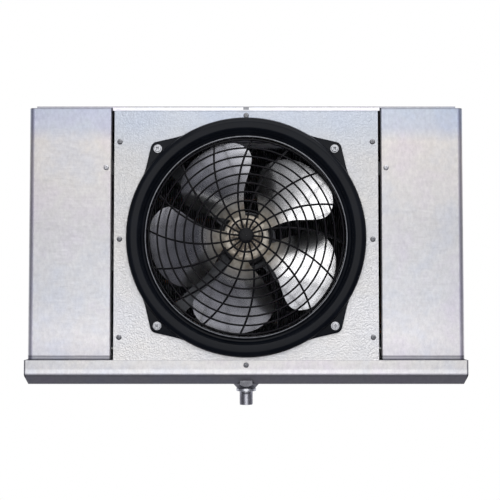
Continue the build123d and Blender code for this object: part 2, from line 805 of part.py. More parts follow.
# --- Fan shroud and guard ------------------------------------------------
def make_fan_shroud():
    """Moulded ring: rounded shoulder, funnel, throat through the panel, and four ears."""
    middle = shroud_wall / 2
    crest = panel_y - shroud_height + middle
    throat = throat_r + middle
    points = [(shroud_r - middle, panel_y - sheet_gap), (shroud_r - middle, crest), (shroud_crest_r, crest)]
    points += [(rim_r + 7, guard_seat_y() + 1.5), (throat, guard_seat_y() + 3.5), (throat, shroud_throat_end)]
    line = FilletPolyline(*points, radius=[shroud_shoulder, 4, 3, 2.5])
    ring = revolve(trace(line, shroud_wall), Axis.Y)
    ledge_y = guard_seat_y() + rim_wire_r + rim_seat_gap
    ledge = rod(throat + 0.5, (0, ledge_y, 0), (0, 1, 0), ledge_height)
    ring += ledge - rod(ledge_r, (0, ledge_y - 1, 0), (0, 1, 0), ledge_height + 2)
    ring = Pos(0, 0, fan_z) * ring
    flat = Sketch()
    for x, z in ear_places():
        lobe = make_hull([*Circle(shroud_r).edges(), *(Pos(x, z - fan_z) * Circle(ear_r)).edges()])
        flat += lobe
    flat -= Circle(shroud_r - shroud_wall / 2)
    for x, z in ear_places():
        flat -= Pos(x, z - fan_z) * Circle(guard_screw_r + screw_clearance)
    ears = Pos(0, panel_y - sheet_gap, fan_z) * extrude(Plane.XZ * flat, ear_height)
    return ring + ears


def guard_seat_y():
    """Centre plane of the guard's rim wire."""
    return panel_y - shroud_height / 2 - 1.5


def dome_y(r):
    """Height of the guard's dome at a distance from its axis."""
    return guard_seat_y() - guard_dome * (1 - (r / rim_r) ** dome_power)


def spoke_point(r, turn):
    angle = math.radians(turn - spoke_swirl * (r - spoke_start_r) / (rim_r - spoke_start_r))
    return Vector(r * math.cos(angle), dome_y(r), fan_z + r * math.sin(angle))


def spoke_path():
    """Centre line of a spoke: an arc through three points of the dome."""
    end_r = rim_r - rim_wire_r - weld_gap - spoke_end_gap
    return ThreePointArc(*[spoke_point(r, 0) for r in (spoke_start_r, (spoke_start_r + end_r) / 2, end_r)])


def make_guard_spokes():
    """Curved wires from the centre disc to the rim, all alike."""
    path = spoke_path()
    wire = sweep(Plane(origin=path @ 0, z_dir=path % 0) * Circle(spoke_wire_r), path=path)
    axis = Axis((0, 0, fan_z), (0, -1, 0))
    return [wire.rotate(axis, spoke_phase + i * 360 / spoke_count) for i in range(spoke_count)]


def arc_y(r):
    """Height of the spoke's arc at a distance from the axis."""
    path = spoke_path()
    low, high = 0.0, 1.0
    for _ in range(30):
        middle = (low + high) / 2
        point = path @ middle
        if math.hypot(point.X, point.Z - fan_z) < r:
            low = middle
        else:
            high = middle
    return (path @ low).Y


def make_guard_rings():
    """Rings welded in front of the spokes, and the heavier rim."""
    rings = []
    step = (last_ring_r - first_ring_r) / (ring_count - 1)
    for i in range(ring_count):
        r = first_ring_r + i * step
        y = arc_y(r) - spoke_wire_r - ring_wire_r - ring_clearance - weld_gap
        rings.append(torus(r, ring_wire_r, y))
    rings.append(torus(rim_r, rim_wire_r, guard_seat_y()))
    return rings


def torus(major, minor, y):
    return Plane(origin=(0, y, fan_z), z_dir=(0, 1, 0)) * Torus(major, minor)


def make_guard_disc():
    """Stamped disc in front of the inner ends of the spokes."""
    y = dome_y(spoke_start_r) - spoke_wire_r - weld_gap - 0.5
    disc = rod(guard_disc_r, (0, y, fan_z), (0, -1, 0), guard_disc_h)
    rim = disc.edges().filter_by(GeomType.CIRCLE).sort_by(Axis.Y)[0]
    return fillet(rim, guard_disc_h * 0.7)


def make_guard_screws():
    """Hex-washer screws through the ears, the fan panel and the motor mount."""
    start = panel_y - sheet_gap - ear_height
    length = ear_height + panel_sheet + sheet_gap * 3 + arm_sheet + nut_h + 2
    screws = []
    for x, z in ear_places():
        body = rod(guard_washer_r, (x, start, z), (0, -1, 0), guard_washer_h)
        body += hexagon(guard_hex, (x, start - guard_washer_h, z), (0, -1, 0), guard_hex_h)
        screws.append(body + rod(guard_screw_r, (x, start, z), (0, 1, 0), length))
    return screws


def make_mount_nuts():
    y = seat_y + arm_sheet + sheet_gap
    nuts = []
    for x, z in ear_places():
        nut = hexagon(nut_hex, (x, y, z), (0, 1, 0), nut_h)
        nuts.append(nut - rod(guard_screw_r + thread_clearance, (x, y - 1, z), (0, 1, 0), nut_h + 2))
    return nuts


# --- Fan -----------------------------------------------------------------
def blade_outline():
    """Front view of one blade, as share of the fan's radius and angle from its middle."""
    polar = [(0.203, 9), (0.289, 17), (0.407, 27), (0.591, 32), (0.761, 31), (0.906, 21), (0.984, 7)]
    polar += [(1.0, -8), (0.984, -21), (0.866, -31), (0.696, -31), (0.512, -26), (0.328, -24), (0.203, -27)]
    points = [(r * fan_r, math.radians(a)) for r, a in polar]
    edge = Spline(*[(r * math.cos(a), r * math.sin(a)) for r, a in points])
    return make_face([edge, Line(edge @ 1, edge @ 0)])


def blade_height(r, angle):
    """Axial place of the blade face: a helix with a little camber."""
    return blade_pitch * angle / (2 * math.pi) + camber_depth * (angle / math.radians(32)) ** 2 * r / fan_r


def make_blade():
    """A twisted, cambered sheet trimmed to the outline of the blade."""
    columns = [math.radians(a) for a in range(-45, 46, 10)]
    rows = [blade_root_r + i * (fan_r + blade_margin - blade_root_r) / 5 for i in range(6)]
    grid = [[Vector(r * math.cos(a), blade_height(r, a), r * math.sin(a)) for a in columns] for r in rows]
    sheet = Solid.thicken(Face.make_surface_from_array_of_points(grid), blade_sheet)
    prism = Plane.XZ.offset(-blade_trim / 2) * blade_outline()
    return sheet & extrude(prism, blade_trim)


def make_fan_blade():
    """Five blades and the drum that joins them, in one piece."""
    drum = rod(drum_r, (0, drum_front, 0), (0, 1, 0), drum_back - drum_front)
    rim = drum.edges().filter_by(GeomType.CIRCLE).sort_by(Axis.Y)[0]
    drum = fillet(rim, drum_round)
    hollow = drum_front + drum_wall
    cavity = rod(drum_r - drum_wall, (0, hollow, 0), (0, 1, 0), blade_trim)
    shape = drum
    blade = Pos(0, blade_y, 0) * make_blade()
    for i in range(blade_count):
        shape += blade.rotate(Axis((0, 0, 0), (0, -1, 0)), blade_phase + i * 360 / blade_count)
    shape -= cavity
    shape -= rod(shaft_r + 0.5, (0, drum_front - 1, 0), (0, 1, 0), 20)
    return Pos(0, 0, fan_z) * shape


def make_fan_hub():
    """Collar with a flange, fixed inside the drum and clamped on the shaft."""
    start = drum_front + drum_wall + sheet_gap
    hub = rod(hub_flange_r, (0, start, fan_z), (0, 1, 0), hub_flange_h)
    hub += rod(hub_r, (0, start, fan_z), (0, 1, 0), hub_back - start)
    hub -= rod(shaft_r + shaft_clearance, (0, start - 1, fan_z), (0, 1, 0), hub_back - start + 2)
    return hub - rod(set_screw_r + 0.05, (0, hub_back - set_screw_place, fan_z), (0, 0, 1), 20)


def make_hub_set_screw():
    y = hub_back - set_screw_place
    return rod(set_screw_r, (0, y, fan_z + shaft_r + 0.1), (0, 0, 1), hub_r - shaft_r - 1)


# --- Motor ---------------------------------------------------------------
def make_motor_shaft():
    start = drum_front + drum_wall + 1
    end = motor_back - 0.5
    return rod(shaft_r, (0, start, fan_z), (0, 1, 0), end - start)


def make_motor_rotor():
    core = rod(rotor_r, (0, stator_start(), fan_z), (0, 1, 0), stator_length)
    return core - rod(shaft_r + shaft_clearance, (0, stator_start() - 1, fan_z), (0, 1, 0), stator_length + 2)


def stator_start():
    return motor_front + (motor_length - stator_length) / 2


def make_motor_stator():
    outer = motor_r - motor_wall - core_fit
    core = rod(outer, (0, stator_start(), fan_z), (0, 1, 0), stator_length)
    return core - rod(rotor_r + air_gap, (0, stator_start() - 1, fan_z), (0, 1, 0), stator_length + 2)


def make_motor_housing():
    """Can with a closed front; its inner boss holds the front bearing."""
    can = rod(motor_r, (0, motor_front, fan_z), (0, 1, 0), motor_length)
    rim = can.edges().filter_by(GeomType.CIRCLE).sort_by(Axis.Y)[0]
    can = fillet(rim, 4)
    inside = motor_front + motor_wall
    can -= rod(motor_r - motor_wall, (0, inside, fan_z), (0, 1, 0), motor_length)
    can += rod(boss_r, (0, inside, fan_z), (0, 1, 0), bearing_length)
    can -= rod(bearing_r + core_fit, (0, inside, fan_z), (0, 1, 0), bearing_length + 1)
    return can - rod(shaft_r + 1, (0, motor_front - 1, fan_z), (0, 1, 0), 10)


def make_motor_end_bell():
    start = motor_back + sheet_gap
    bell = rod(motor_r, (0, start, fan_z), (0, 1, 0), bell_thickness - 2 * sheet_gap)
    bell += rod(boss_r, (0, start - bearing_length, fan_z), (0, 1, 0), bearing_length)
    bell -= rod(bearing_r + core_fit, (0, start - bearing_length - 1, fan_z), (0, 1, 0), bearing_length + 1)
    for x, z in motor_bolt_places():
        bell -= rod(motor_bolt_r + 0.1, (x, start - 1, z), (0, 1, 0), 20)
    return bell - lead_bore(start - 1)


def motor_bolt_places():
    angles = [math.radians(45 + 90 * i) for i in range(4)]
    return [(motor_bolt_circle * math.cos(a), fan_z + motor_bolt_circle * math.sin(a)) for a in angles]


def lead_bore(y):
    return rod(lead_r + 0.3, (lead_start_x, y, fan_z), (0, 1, 0), 20)


def make_motor_bearings():
    front = motor_front + motor_wall
    back = motor_back + sheet_gap - bearing_length
    bushes = []
    for start in (front, back):
        bush = rod(bearing_r, (0, start, fan_z), (0, 1, 0), bearing_length - sheet_gap)
        bore = rod(shaft_r + shaft_clearance, (0, start - 1, fan_z), (0, 1, 0), bearing_length + 2)
        bushes.append(bush - bore)
    return bushes


def make_motor_mount():
    """Four bent straps on a round plate; their feet share the screws of the shroud."""
    middle = arm_sheet / 2
    foot = seat_y + middle
    back = plate_of_mount + middle
    points = [(foot_end_r, foot), (arm_r, foot), (arm_r, back), (mount_bore_r + 8, back)]
    arm = strip(points, arm_sheet, Plane.XY, -arm_width / 2, arm_width / 2, radius=arm_bend)
    hole_r = guard_screw_r + screw_clearance
    arm -= rod(hole_r, (math.hypot(ear_place, ear_place), seat_y - 1, 0), (0, 1, 0), 6)
    mount = rod(mount_plate_r, (0, plate_of_mount, 0), (0, 1, 0), arm_sheet)
    for i in range(4):
        mount += arm.rotate(Axis((0, 0, 0), (0, -1, 0)), 45 + 90 * i)
    mount = Pos(0, 0, fan_z) * mount
    mount -= rod(mount_bore_r, (0, plate_of_mount - 1, fan_z), (0, 1, 0), 10)
    for x, z in motor_bolt_places():
        mount -= rod(motor_bolt_r + 0.1, (x, plate_of_mount - 1, z), (0, 1, 0), 10)
    return mount - lead_bore(plate_of_mount - 1)


def make_motor_bolts():
    """Studs of the motor with their nuts behind the mount."""
    start = motor_back + sheet_gap
    nut_y = plate_of_mount + arm_sheet + sheet_gap
    bolts = []
    for x, z in motor_bolt_places():
        bolt = rod(motor_bolt_r, (x, start, z), (0, 1, 0), motor_bolt_length)
        bolts.append(bolt + hexagon(8.0, (x, nut_y, z), (0, 1, 0), 4.0))
    return bolts


def make_motor_lead():
    """Lead from the motor through the left end plate into the junction box."""
    start = (lead_start_x, motor_back + 0.5, fan_z)
    points = [start, (lead_start_x, lead_y, fan_z), (box_entry_x() - lead_tail, lead_y, fan_z)]
    return pipe(points, lead_r, lead_bend)


def box_entry_x():
    return -(plate_x + sheet_gap + box_sheet)


def make_lead_grommet():
    """Grommet through the end plate and the back of the junction box."""
    inner = -(plate_x - frame_sheet)
    start = inner + sheet_gap + lead_grommet_lip
    end = box_entry_x() - sheet_gap - lead_grommet_lip
    flange_r = lead_grommet_r + lead_grommet_flange
    ring = rod(lead_grommet_r - sheet_gap, (start, lead_y, fan_z), (-1, 0, 0), start - end)
    ring += rod(flange_r, (start, lead_y, fan_z), (-1, 0, 0), lead_grommet_lip)
    ring += rod(flange_r, (end, lead_y, fan_z), (1, 0, 0), lead_grommet_lip)
    return ring - rod(lead_r + sheet_gap, (start + 1, lead_y, fan_z), (-1, 0, 0), start - end + 2)


# --- Junction box --------------------------------------------------------
def make_junction_box():
    """Open box on the outside of the left end plate."""
    inner = -(plate_x + sheet_gap)
    outer = inner - box_reach
    box = block(outer, inner, box_front, box_back, box_bottom, box_top)
    t = box_sheet
    box -= block(outer - 1, inner - t, box_front + t, box_back - t, box_bottom + t, box_top - t)
    box -= rod(lead_grommet_r, (inner + 1, lead_y, fan_z), (-1, 0, 0), t + 2)
    entry_z = box_top - entry_below_top
    return box - rod(knockout_r, (outer + box_reach / 2, box_back - 5, entry_z), (0, 1, 0), 10)


def make_junction_box_cover():
    """Lid with lips that go over the walls of the box."""
    outer = -(plate_x + sheet_gap + box_reach)
    gap = sheet_gap + box_sheet
    rim = outer + box_lid_lip
    lid = block(outer - gap, rim, box_front - gap, box_back + gap, box_bottom - gap, box_top + gap)
    gap = sheet_gap
    return lid - block(outer - gap, rim + 1, box_front - gap, box_back + gap, box_bottom - gap, box_top + gap)


def make_terminal_block():
    """Barrier strip with one pair of screw terminals for each pole."""
    back = box_entry_x() - sheet_gap
    y = (box_front + box_back) / 2
    z = box_bottom + block_above_floor
    body = Pos(back - block_reach / 2, y, z) * Box(block_reach, block_length, block_height)
    pole = block_length / block_poles
    pocket = Box(block_reach, pocket_width, pocket_height)
    for i in range(block_poles):
        middle = y - block_length / 2 + pole * (i + 0.5)
        for side in (-1, 1):
            body -= Pos(back - block_reach, middle, z + side * block_height / 4) * pocket
    return body


# --- Drain pan -----------------------------------------------------------
def pan_body(offset_in):
    """Outer form of the pan, or its hollow when the walls are moved in."""
    half = pan_half - offset_in
    front = pan_front + offset_in
    rear = pan_rear - offset_in
    knee = pan_rim - pan_wall + offset_in * 0.4
    floor = pan_floor + offset_in
    top = pan_rim + (1 if offset_in > 0 else 0)
    walls = block(-half, half, front, rear, knee, top)
    upper = Plane.XY.offset(knee) * Pos(0, (front + rear) / 2) * Rectangle(2 * half, rear - front)
    trough_y = pan_front + trough_front + trough_width / 2
    lower = Plane.XY.offset(floor) * Pos(0, trough_y) * Rectangle(2 * (half - pan_end_taper), trough_width)
    body = walls + loft([upper, lower])
    radius = pan_round - offset_in
    knees = [e for e in body.edges() if abs(e.center().Z - knee) < 0.01 and e.center().Y < rear - 1]
    knees = [e for e in knees if abs(e.bounding_box().size.Z) < 0.01]
    return fillet(knees, radius)


def make_drain_pan():
    pan = pan_body(0) - pan_body(pan_sheet)
    pan -= rod(pan_screw_r + screw_clearance, (0, pan_front - 1, pan_screw_z), (0, 1, 0), 4)
    return pan - rod(nipple_bore_r + 1.5, (0, drain_y, pan_floor - 5), (0, 0, 1), 20)


def make_drain_coupling():
    """Hexagonal coupling on the underside of the pan, trimmed to the slope of the pan."""
    low = pan_floor - coupling_depth
    hexed = hexagon(coupling_hex, (0, drain_y, low), (0, 0, 1), coupling_depth + coupling_reach)
    cone = Plane.XY.offset(low) * Pos(0, drain_y) * Circle(coupling_hex / 2 - coupling_taper)
    top = Plane.XY.offset(pan_floor + coupling_reach)
    wide = top * Pos(0, drain_y) * Circle(coupling_hex / 2 + coupling_flare)
    hexed = hexed & loft([cone, wide])
    hexed -= Pos(0, 0, -0.02) * pan_body(0)
    return hexed - rod(nipple_root_r + thread_clearance, (0, drain_y, low - 1), (0, 0, 1), 30)


def make_drain_collar():
    """Lock nut under the coupling."""
    top = pan_floor - coupling_depth - 0.05
    collar = rod(collar_r, (0, drain_y, top), (0, 0, -1), collar_h)
    collar = chamfer(collar.edges().filter_by(GeomType.CIRCLE), 0.6)
    return collar - rod(nipple_root_r + thread_clearance, (0, drain_y, top + 1), (0, 0, -1), collar_h + 2)


def make_drain_nipple():
    """Threaded nipple that takes the drain line."""
    low = pan_floor - nipple_length
    free = nipple_length - coupling_depth - collar_h - 0.1
    nipple = rod(nipple_r, (0, drain_y, low), (0, 0, 1), free)
    nipple = chamfer(nipple.edges().filter_by(GeomType.CIRCLE).sort_by(Axis.Z)[0], 0.8)
    nipple += rod(nipple_root_r, (0, drain_y, low), (0, 0, 1), nipple_length - 0.1)
    return nipple - rod(nipple_bore_r, (0, drain_y, low - 1), (0, 0, 1), nipple_length + 2)


def make_pan_screw():
    return screw((0, pan_front, pan_screw_z), (0, 1, 0), shank_r=pan_screw_r)


def make_pan_screw_nut():
    y = panel_back + pan_nut_gap
    nut = hexagon(pan_nut_hex, (0, y, pan_screw_z), (0, 1, 0), pan_nut_h)
    return nut - rod(pan_screw_r + thread_clearance, (0, y - 1, pan_screw_z), (0, 1, 0), 6)


# --- Pan hinges ----------------------------------------------------------
def make_cabinet_leaves():
    """Fixed leaf of each hinge: plate on the rear rail and the two outer knuckles."""
    back = y_rear + sheet_gap
    plate_low = z_bottom + leaf_gap
    left = hinge_x - hinge_length / 2
    right = hinge_x + hinge_length / 2
    leaf = block(left, right, back, back + leaf_sheet, plate_low, plate_low + leaf_height)
    knuckle = (hinge_length - pan_knuckle) / 2 - knuckle_gap
    shelf = plate_low + shelf_rise
    outer = hinge_y + leaf_sheet / 2
    for start in (left, right - knuckle):
        end = start + knuckle
        leaf += block(start, end, back, outer, shelf, shelf + leaf_sheet)
        leaf += block(start, end, outer - leaf_sheet, outer, hinge_z, shelf + leaf_sheet)
        leaf += rod(knuckle_r, (start, hinge_y, hinge_z), (1, 0, 0), knuckle)
    return both_sides(leaf - hinge_bore())


def hinge_bore():
    start = (hinge_x - hinge_length, hinge_y, hinge_z)
    return rod(pin_r + pin_clearance, start, (1, 0, 0), hinge_length * 2)


def make_pan_leaves():
    """Moving leaf of each hinge: plate on the rear wall of the pan and the middle knuckle."""
    back = pan_rear + sheet_gap
    top = hinge_z + leaf_gap
    half = hinge_length / 2
    low = hinge_z - knuckle_r
    leaf = block(hinge_x - half, hinge_x + half, back, back + leaf_sheet, low - leaf_height, low - leaf_gap)
    half = pan_knuckle / 2
    leaf += block(hinge_x - half, hinge_x + half, back, back + leaf_sheet, low - leaf_height, top)
    leaf += block(hinge_x - half, hinge_x + half, back, hinge_y, low, low + leaf_sheet)
    leaf += rod(knuckle_r, (hinge_x - half, hinge_y, hinge_z), (1, 0, 0), pan_knuckle)
    return both_sides(leaf - hinge_bore())


def make_hinge_pins():
    start = hinge_x - hinge_length / 2 - sheet_gap
    length = hinge_length + sheet_gap + pin_overhang
    pin = rod(pin_r, (start, hinge_y, hinge_z), (1, 0, 0), length)
    pin += rod(pin_head_r, (start, hinge_y, hinge_z), (-1, 0, 0), pin_head_h)
    return both_sides(pin)


# --- Writing -------------------------------------------------------------
def write(name, shape):
    solids = shape if isinstance(shape, list) else [shape]
    export_step(Compound(children=solids), f"parts/{name}.step")


os.makedirs("parts", exist_ok=True)
hanger_rail = make_hanger_rail()
end_cover = make_end_cover()
parts = {
    "top_panel": make_top_panel(),
    "fan_panel": make_fan_panel(),
    "left_end_plate": make_left_end_plate(),
    "right_end_plate": make_right_end_plate(),
    "left_end_cover": mirrored(end_cover),
    "right_end_cover": end_cover,
    "cover_clips": make_cover_clips(),
    "cover_screws": make_cover_screws(),
    "panel_screws": make_panel_screws(),
    "flange_clip": make_flange_clip(),
    "left_hanger_rail": mirrored(hanger_rail),
    "right_hanger_rail": hanger_rail,
    "frame_rivets": make_frame_rivets(),
    "top_rail": make_top_rail(),
    "rear_rail": make_rear_rail(),
    "coil_fins": make_coil_fins(),
    "coil_tubes": make_coil_tubes(),
    "return_bends": make_return_bends(),
    "suction_header": make_suction_header(),
    "service_valve": make_service_valve(),
    "liquid_line": make_liquid_line(),
    "distributor": make_distributor(),
    "feeder_tubes": make_feeder_tubes(),
    "pipe_grommets": make_pipe_grommets(),
    "fan_shroud": make_fan_shroud(),
    "guard_rings": make_guard_rings(),
    "guard_spokes": make_guard_spokes(),
    "guard_disc": make_guard_disc(),
    "guard_screws": make_guard_screws(),
    "mount_nuts": make_mount_nuts(),
    "fan_blade": make_fan_blade(),
    "fan_hub": make_fan_hub(),
    "hub_set_screw": make_hub_set_screw(),
    "motor_shaft": make_motor_shaft(),
    "motor_rotor": make_motor_rotor(),
    "motor_stator": make_motor_stator(),
    "motor_housing": make_motor_housing(),
    "motor_end_bell": make_motor_end_bell(),
    "motor_bearings": make_motor_bearings(),
    "motor_mount": make_motor_mount(),
    "motor_bolts": make_motor_bolts(),
    "motor_lead": make_motor_lead(),
    "lead_grommet": make_lead_grommet(),
    "junction_box": make_junction_box(),
    "junction_box_cover": make_junction_box_cover(),
    "terminal_block": make_terminal_block(),
    "drain_pan": make_drain_pan(),
    "drain_coupling": make_drain_coupling(),
    "drain_collar": make_drain_collar(),
    "drain_nipple": make_drain_nipple(),
    "pan_screw": make_pan_screw(),
    "pan_screw_nut": make_pan_screw_nut(),
    "cabinet_hinge_leaves": make_cabinet_leaves(),
    "pan_hinge_leaves": make_pan_leaves(),
    "hinge_pins": make_hinge_pins(),
}
for part_name, part_shape in parts.items():
    write(part_name, part_shape)
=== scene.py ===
import json
import math
import random

import bmesh
import bpy
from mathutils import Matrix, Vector


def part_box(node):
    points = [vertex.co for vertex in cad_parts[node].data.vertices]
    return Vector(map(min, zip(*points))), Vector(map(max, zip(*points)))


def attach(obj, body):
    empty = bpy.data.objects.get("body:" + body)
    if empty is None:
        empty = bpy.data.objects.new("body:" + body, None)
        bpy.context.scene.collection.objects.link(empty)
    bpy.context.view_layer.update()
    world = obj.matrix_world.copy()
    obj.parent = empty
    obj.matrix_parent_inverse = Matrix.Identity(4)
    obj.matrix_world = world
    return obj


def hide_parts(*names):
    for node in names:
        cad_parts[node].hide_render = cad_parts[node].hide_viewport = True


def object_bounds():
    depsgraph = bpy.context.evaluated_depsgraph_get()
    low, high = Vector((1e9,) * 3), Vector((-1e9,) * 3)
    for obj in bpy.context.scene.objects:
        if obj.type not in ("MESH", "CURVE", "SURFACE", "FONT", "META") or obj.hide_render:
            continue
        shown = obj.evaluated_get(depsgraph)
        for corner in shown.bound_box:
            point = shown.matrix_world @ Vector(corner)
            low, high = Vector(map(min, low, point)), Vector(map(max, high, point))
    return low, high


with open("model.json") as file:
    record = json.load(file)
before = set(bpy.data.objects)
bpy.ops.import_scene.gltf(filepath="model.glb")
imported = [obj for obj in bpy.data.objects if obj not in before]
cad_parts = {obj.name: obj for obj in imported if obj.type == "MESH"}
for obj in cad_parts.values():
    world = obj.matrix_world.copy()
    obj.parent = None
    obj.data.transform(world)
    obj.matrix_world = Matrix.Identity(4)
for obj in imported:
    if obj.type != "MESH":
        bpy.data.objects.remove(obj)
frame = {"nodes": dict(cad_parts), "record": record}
cad_low, cad_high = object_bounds()

# ---------------------------------------------------------------- sizes, in metres
MM = 0.001
FAN_Z = frame["record"]["behaviour"]["joints"][0]["pos_m"][2]
PANEL_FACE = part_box("fan_panel")[0].y
SHROUD_R = 187 * MM
SHROUD_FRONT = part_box("fan_shroud")[0].y
SHROUD_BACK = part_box("fan_shroud")[1].y
THROAT_R = 157 * MM
CREST_R = 169 * MM
EAR_PLACE = 138 * MM
EAR_R = 11.5 * MM
EAR_HEIGHT = 6.5 * MM
EAR_REACH = math.hypot(EAR_PLACE, EAR_PLACE)
MOULDING_GAP = 0.1 * MM
GUARD_SEAT = PANEL_FACE - 10.5 * MM
RIM_R = 156.6 * MM
RIM_WIRE = 2.0 * MM
RING_WIRE = 1.5 * MM
SPOKE_WIRE = 1.6 * MM
RING_COUNT = 10
FIRST_RING = 25 * MM
LAST_RING = 151 * MM
SPOKES = 16
SPOKE_PHASE = math.radians(-2)
SPOKE_SWIRL = math.radians(25)
SPOKE_START = 9 * MM
GUARD_DOME = 32.2 * MM
DOME_POWER = 2.3
DISC_R = 12 * MM
SHEET_FOOT = -400 * MM
LID_FOOT = -12.5 * MM
PAN_FLOOR = -435.3 * MM
PAN_RIM = -397.3 * MM
# Spans of |x| over which the cover, lid and pan materials paint shade at their bends and ends.
COVER_EDGE = (328 * MM, 340 * MM)
LID_EDGE = (200 * MM, 214 * MM)
PAN_EDGE = (340 * MM, 345 * MM)
WHITE = (1.0, 1.0, 1.0)


# ---------------------------------------------------------------- mesh helpers
def place_mesh(name, mesh, material, smooth=True):
    if smooth:
        mesh.polygons.foreach_set("use_smooth", [True] * len(mesh.polygons))
    piece = bpy.data.objects.new(name, mesh)
    bpy.context.scene.collection.objects.link(piece)
    piece.data.materials.append(material)
    return piece


def new_object(name, vertices, faces, material, smooth=True):
    mesh = bpy.data.meshes.new(name)
    mesh.from_pydata([tuple(v) for v in vertices], [], faces)
    mesh.validate()
    mesh.update()
    return place_mesh(name, mesh, material, smooth)


def sharpen(piece, degrees):
    """Marks edges sharper than an angle, so that flat faces stay flat."""
    work = bmesh.new()
    work.from_mesh(piece.data)
    bmesh.ops.recalc_face_normals(work, faces=work.faces)
    limit = math.radians(degrees)
    for edge in work.edges:
        if len(edge.link_faces) == 2 and edge.calc_face_angle(0) > limit:
            edge.smooth = False
    work.to_mesh(piece.data)
    work.free()


def grid_faces(rows, columns, close_columns, close_rows=False):
    faces = []
    for i in range(rows if close_rows else rows - 1):
        for j in range(columns if close_columns else columns - 1):
            i2 = (i + 1) % rows
            j2 = (j + 1) % columns
            faces.append((i * columns + j, i * columns + j2, i2 * columns + j2, i2 * columns + j))
    return faces


def circle(r, count, turn=0.0):
    """Points of a circle, as (x, y)."""
    return [(r * math.cos(a), r * math.sin(a)) for a in (2 * math.pi * j / count + turn for j in range(count))]


def polar(r, angle):
    return Vector((r * math.cos(angle), r * math.sin(angle)))


def on_fan_axis(r, y, angle):
    return Vector((r * math.cos(angle), y, FAN_Z + r * math.sin(angle)))


def hoop(r, y, steps):
    return [on_fan_axis(r, y, 2 * math.pi * j / steps) for j in range(steps)]


def lathe(name, profile, material, steps):
    """Turned form round the fan axis; the profile is a closed list of (radius, y)."""
    vertices = []
    for r, y in profile:
        vertices += hoop(r, y, steps)
    piece = new_object(name, vertices, grid_faces(len(profile), steps, True, True), material)
    sharpen(piece, 50)
    return piece


def tube_vertices(points, radius, sides, closed):
    """Vertices of a round wire that follows points, with its section carried along."""
    count = len(points)
    tangents = []
    for i in range(count):
        ahead = points[(i + 1) % count] if closed or i < count - 1 else points[i]
        behind = points[i - 1] if closed or i > 0 else points[i]
        tangents.append((ahead - behind).normalized())
    normal = tangents[0].orthogonal().normalized()
    vertices = []
    for point, tangent in zip(points, tangents):
        normal = (normal - tangent * normal.dot(tangent)).normalized()
        side = tangent.cross(normal)
        for j in range(sides):
            turn = 2 * math.pi * j / sides
            vertices.append(point + radius * (math.cos(turn) * normal + math.sin(turn) * side))
    return vertices


def wires(name, paths, radius, material, sides=10, closed=False):
    """Several wires as one piece."""
    vertices = []
    faces = []
    for path in paths:
        base = len(vertices)
        vertices += tube_vertices(path, radius, sides, closed)
        faces += [tuple(base + k for k in face) for face in grid_faces(len(path), sides, True, closed)]
        if not closed:
            faces.append(tuple(base + j for j in range(sides)))
            faces.append(tuple(base + (len(path) - 1) * sides + j for j in range(sides)))
    piece = new_object(name, vertices, faces, material)
    sharpen(piece, 60)
    return piece


def fillet_profile(points, radii, arc_steps=8):
    """Rounds the inner corners of an open profile of (radius, y) points."""
    out = [points[0]]
    for k in range(1, len(points) - 1):
        corner = Vector(points[k])
        to_last = Vector(points[k - 1]) - corner
        to_next = Vector(points[k + 1]) - corner
        half = to_last.angle(to_next) / 2
        radius = radii[k - 1]
        cut = min(radius / math.tan(half), 0.48 * min(to_last.length, to_next.length))
        radius = cut * math.tan(half)
        start = corner + to_last.normalized() * cut
        end = corner + to_next.normalized() * cut
        middle = corner + (to_last.normalized() + to_next.normalized()).normalized() * radius / math.sin(half)
        for s in range(arc_steps + 1):
            t = s / arc_steps
            chord = start.lerp(end, t) - middle
            out.append(tuple(middle + chord.normalized() * radius))
    out.append(points[-1])
    return out


def thicken_profile(line, thickness):
    """Closed profile of a wall that has the line as its middle."""
    left = []
    right = []
    for i, point in enumerate(line):
        ahead = Vector(line[min(i + 1, len(line) - 1)])
        behind = Vector(line[max(i - 1, 0)])
        direction = (ahead - behind).normalized()
        across = Vector((-direction.y, direction.x)) * thickness / 2
        left.append(tuple(Vector(point) + across))
        right.append(tuple(Vector(point) - across))
    return left + right[::-1]


# ---------------------------------------------------------------- node helpers
class Tree:
    """A node tree with short ways to add to it; a value is a number, a vector, a colour or a socket."""

    def __init__(self, tree):
        self.tree = tree

    def put(self, value, target):
        if isinstance(value, bpy.types.NodeSocket):
            self.tree.links.new(value, target)
        elif isinstance(value, tuple) and target.type == "RGBA":
            target.default_value = (*value, 1)
        else:
            target.default_value = value

    def add(self, kind, inputs=None, **settings):
        node = self.tree.nodes.new(kind)
        for key, value in settings.items():
            setattr(node, key, value)
        for socket, value in (inputs or {}).items():
            self.put(value, node.inputs[socket])
        return node

    def math(self, operation, a, b=0.0):
        return self.add("ShaderNodeMath", {0: a, 1: b}, operation=operation).outputs[0]

    def split(self, vector):
        """X, Y and Z of a vector."""
        return self.add("ShaderNodeSeparateXYZ", {0: vector}).outputs

    def ramp(self, factor, stops):
        node = self.add("ShaderNodeValToRGB", {"Fac": factor})
        elements = node.color_ramp.elements
        for element, (position, color) in zip(elements, (stops[0], stops[-1])):
            element.position = position
            element.color = (*color, 1)
        for position, color in stops[1:-1]:
            elements.new(position).color = (*color, 1)
        return node.outputs["Color"]

    def span(self, factor, low, high, from_low=0.3, from_high=0.7):
        """Value that goes from low to high while the factor goes over its own span."""
        inputs = {"Value": factor, "From Min": from_low, "From Max": from_high, "To Min": low, "To Max": high}
        return self.add("ShaderNodeMapRange", inputs).outputs["Result"]

    def mix(self, share, a, b, blend="MIX"):
        return self.add("ShaderNodeMix", {0: share, 6: a, 7: b}, data_type="RGBA", blend_type=blend).outputs[2]


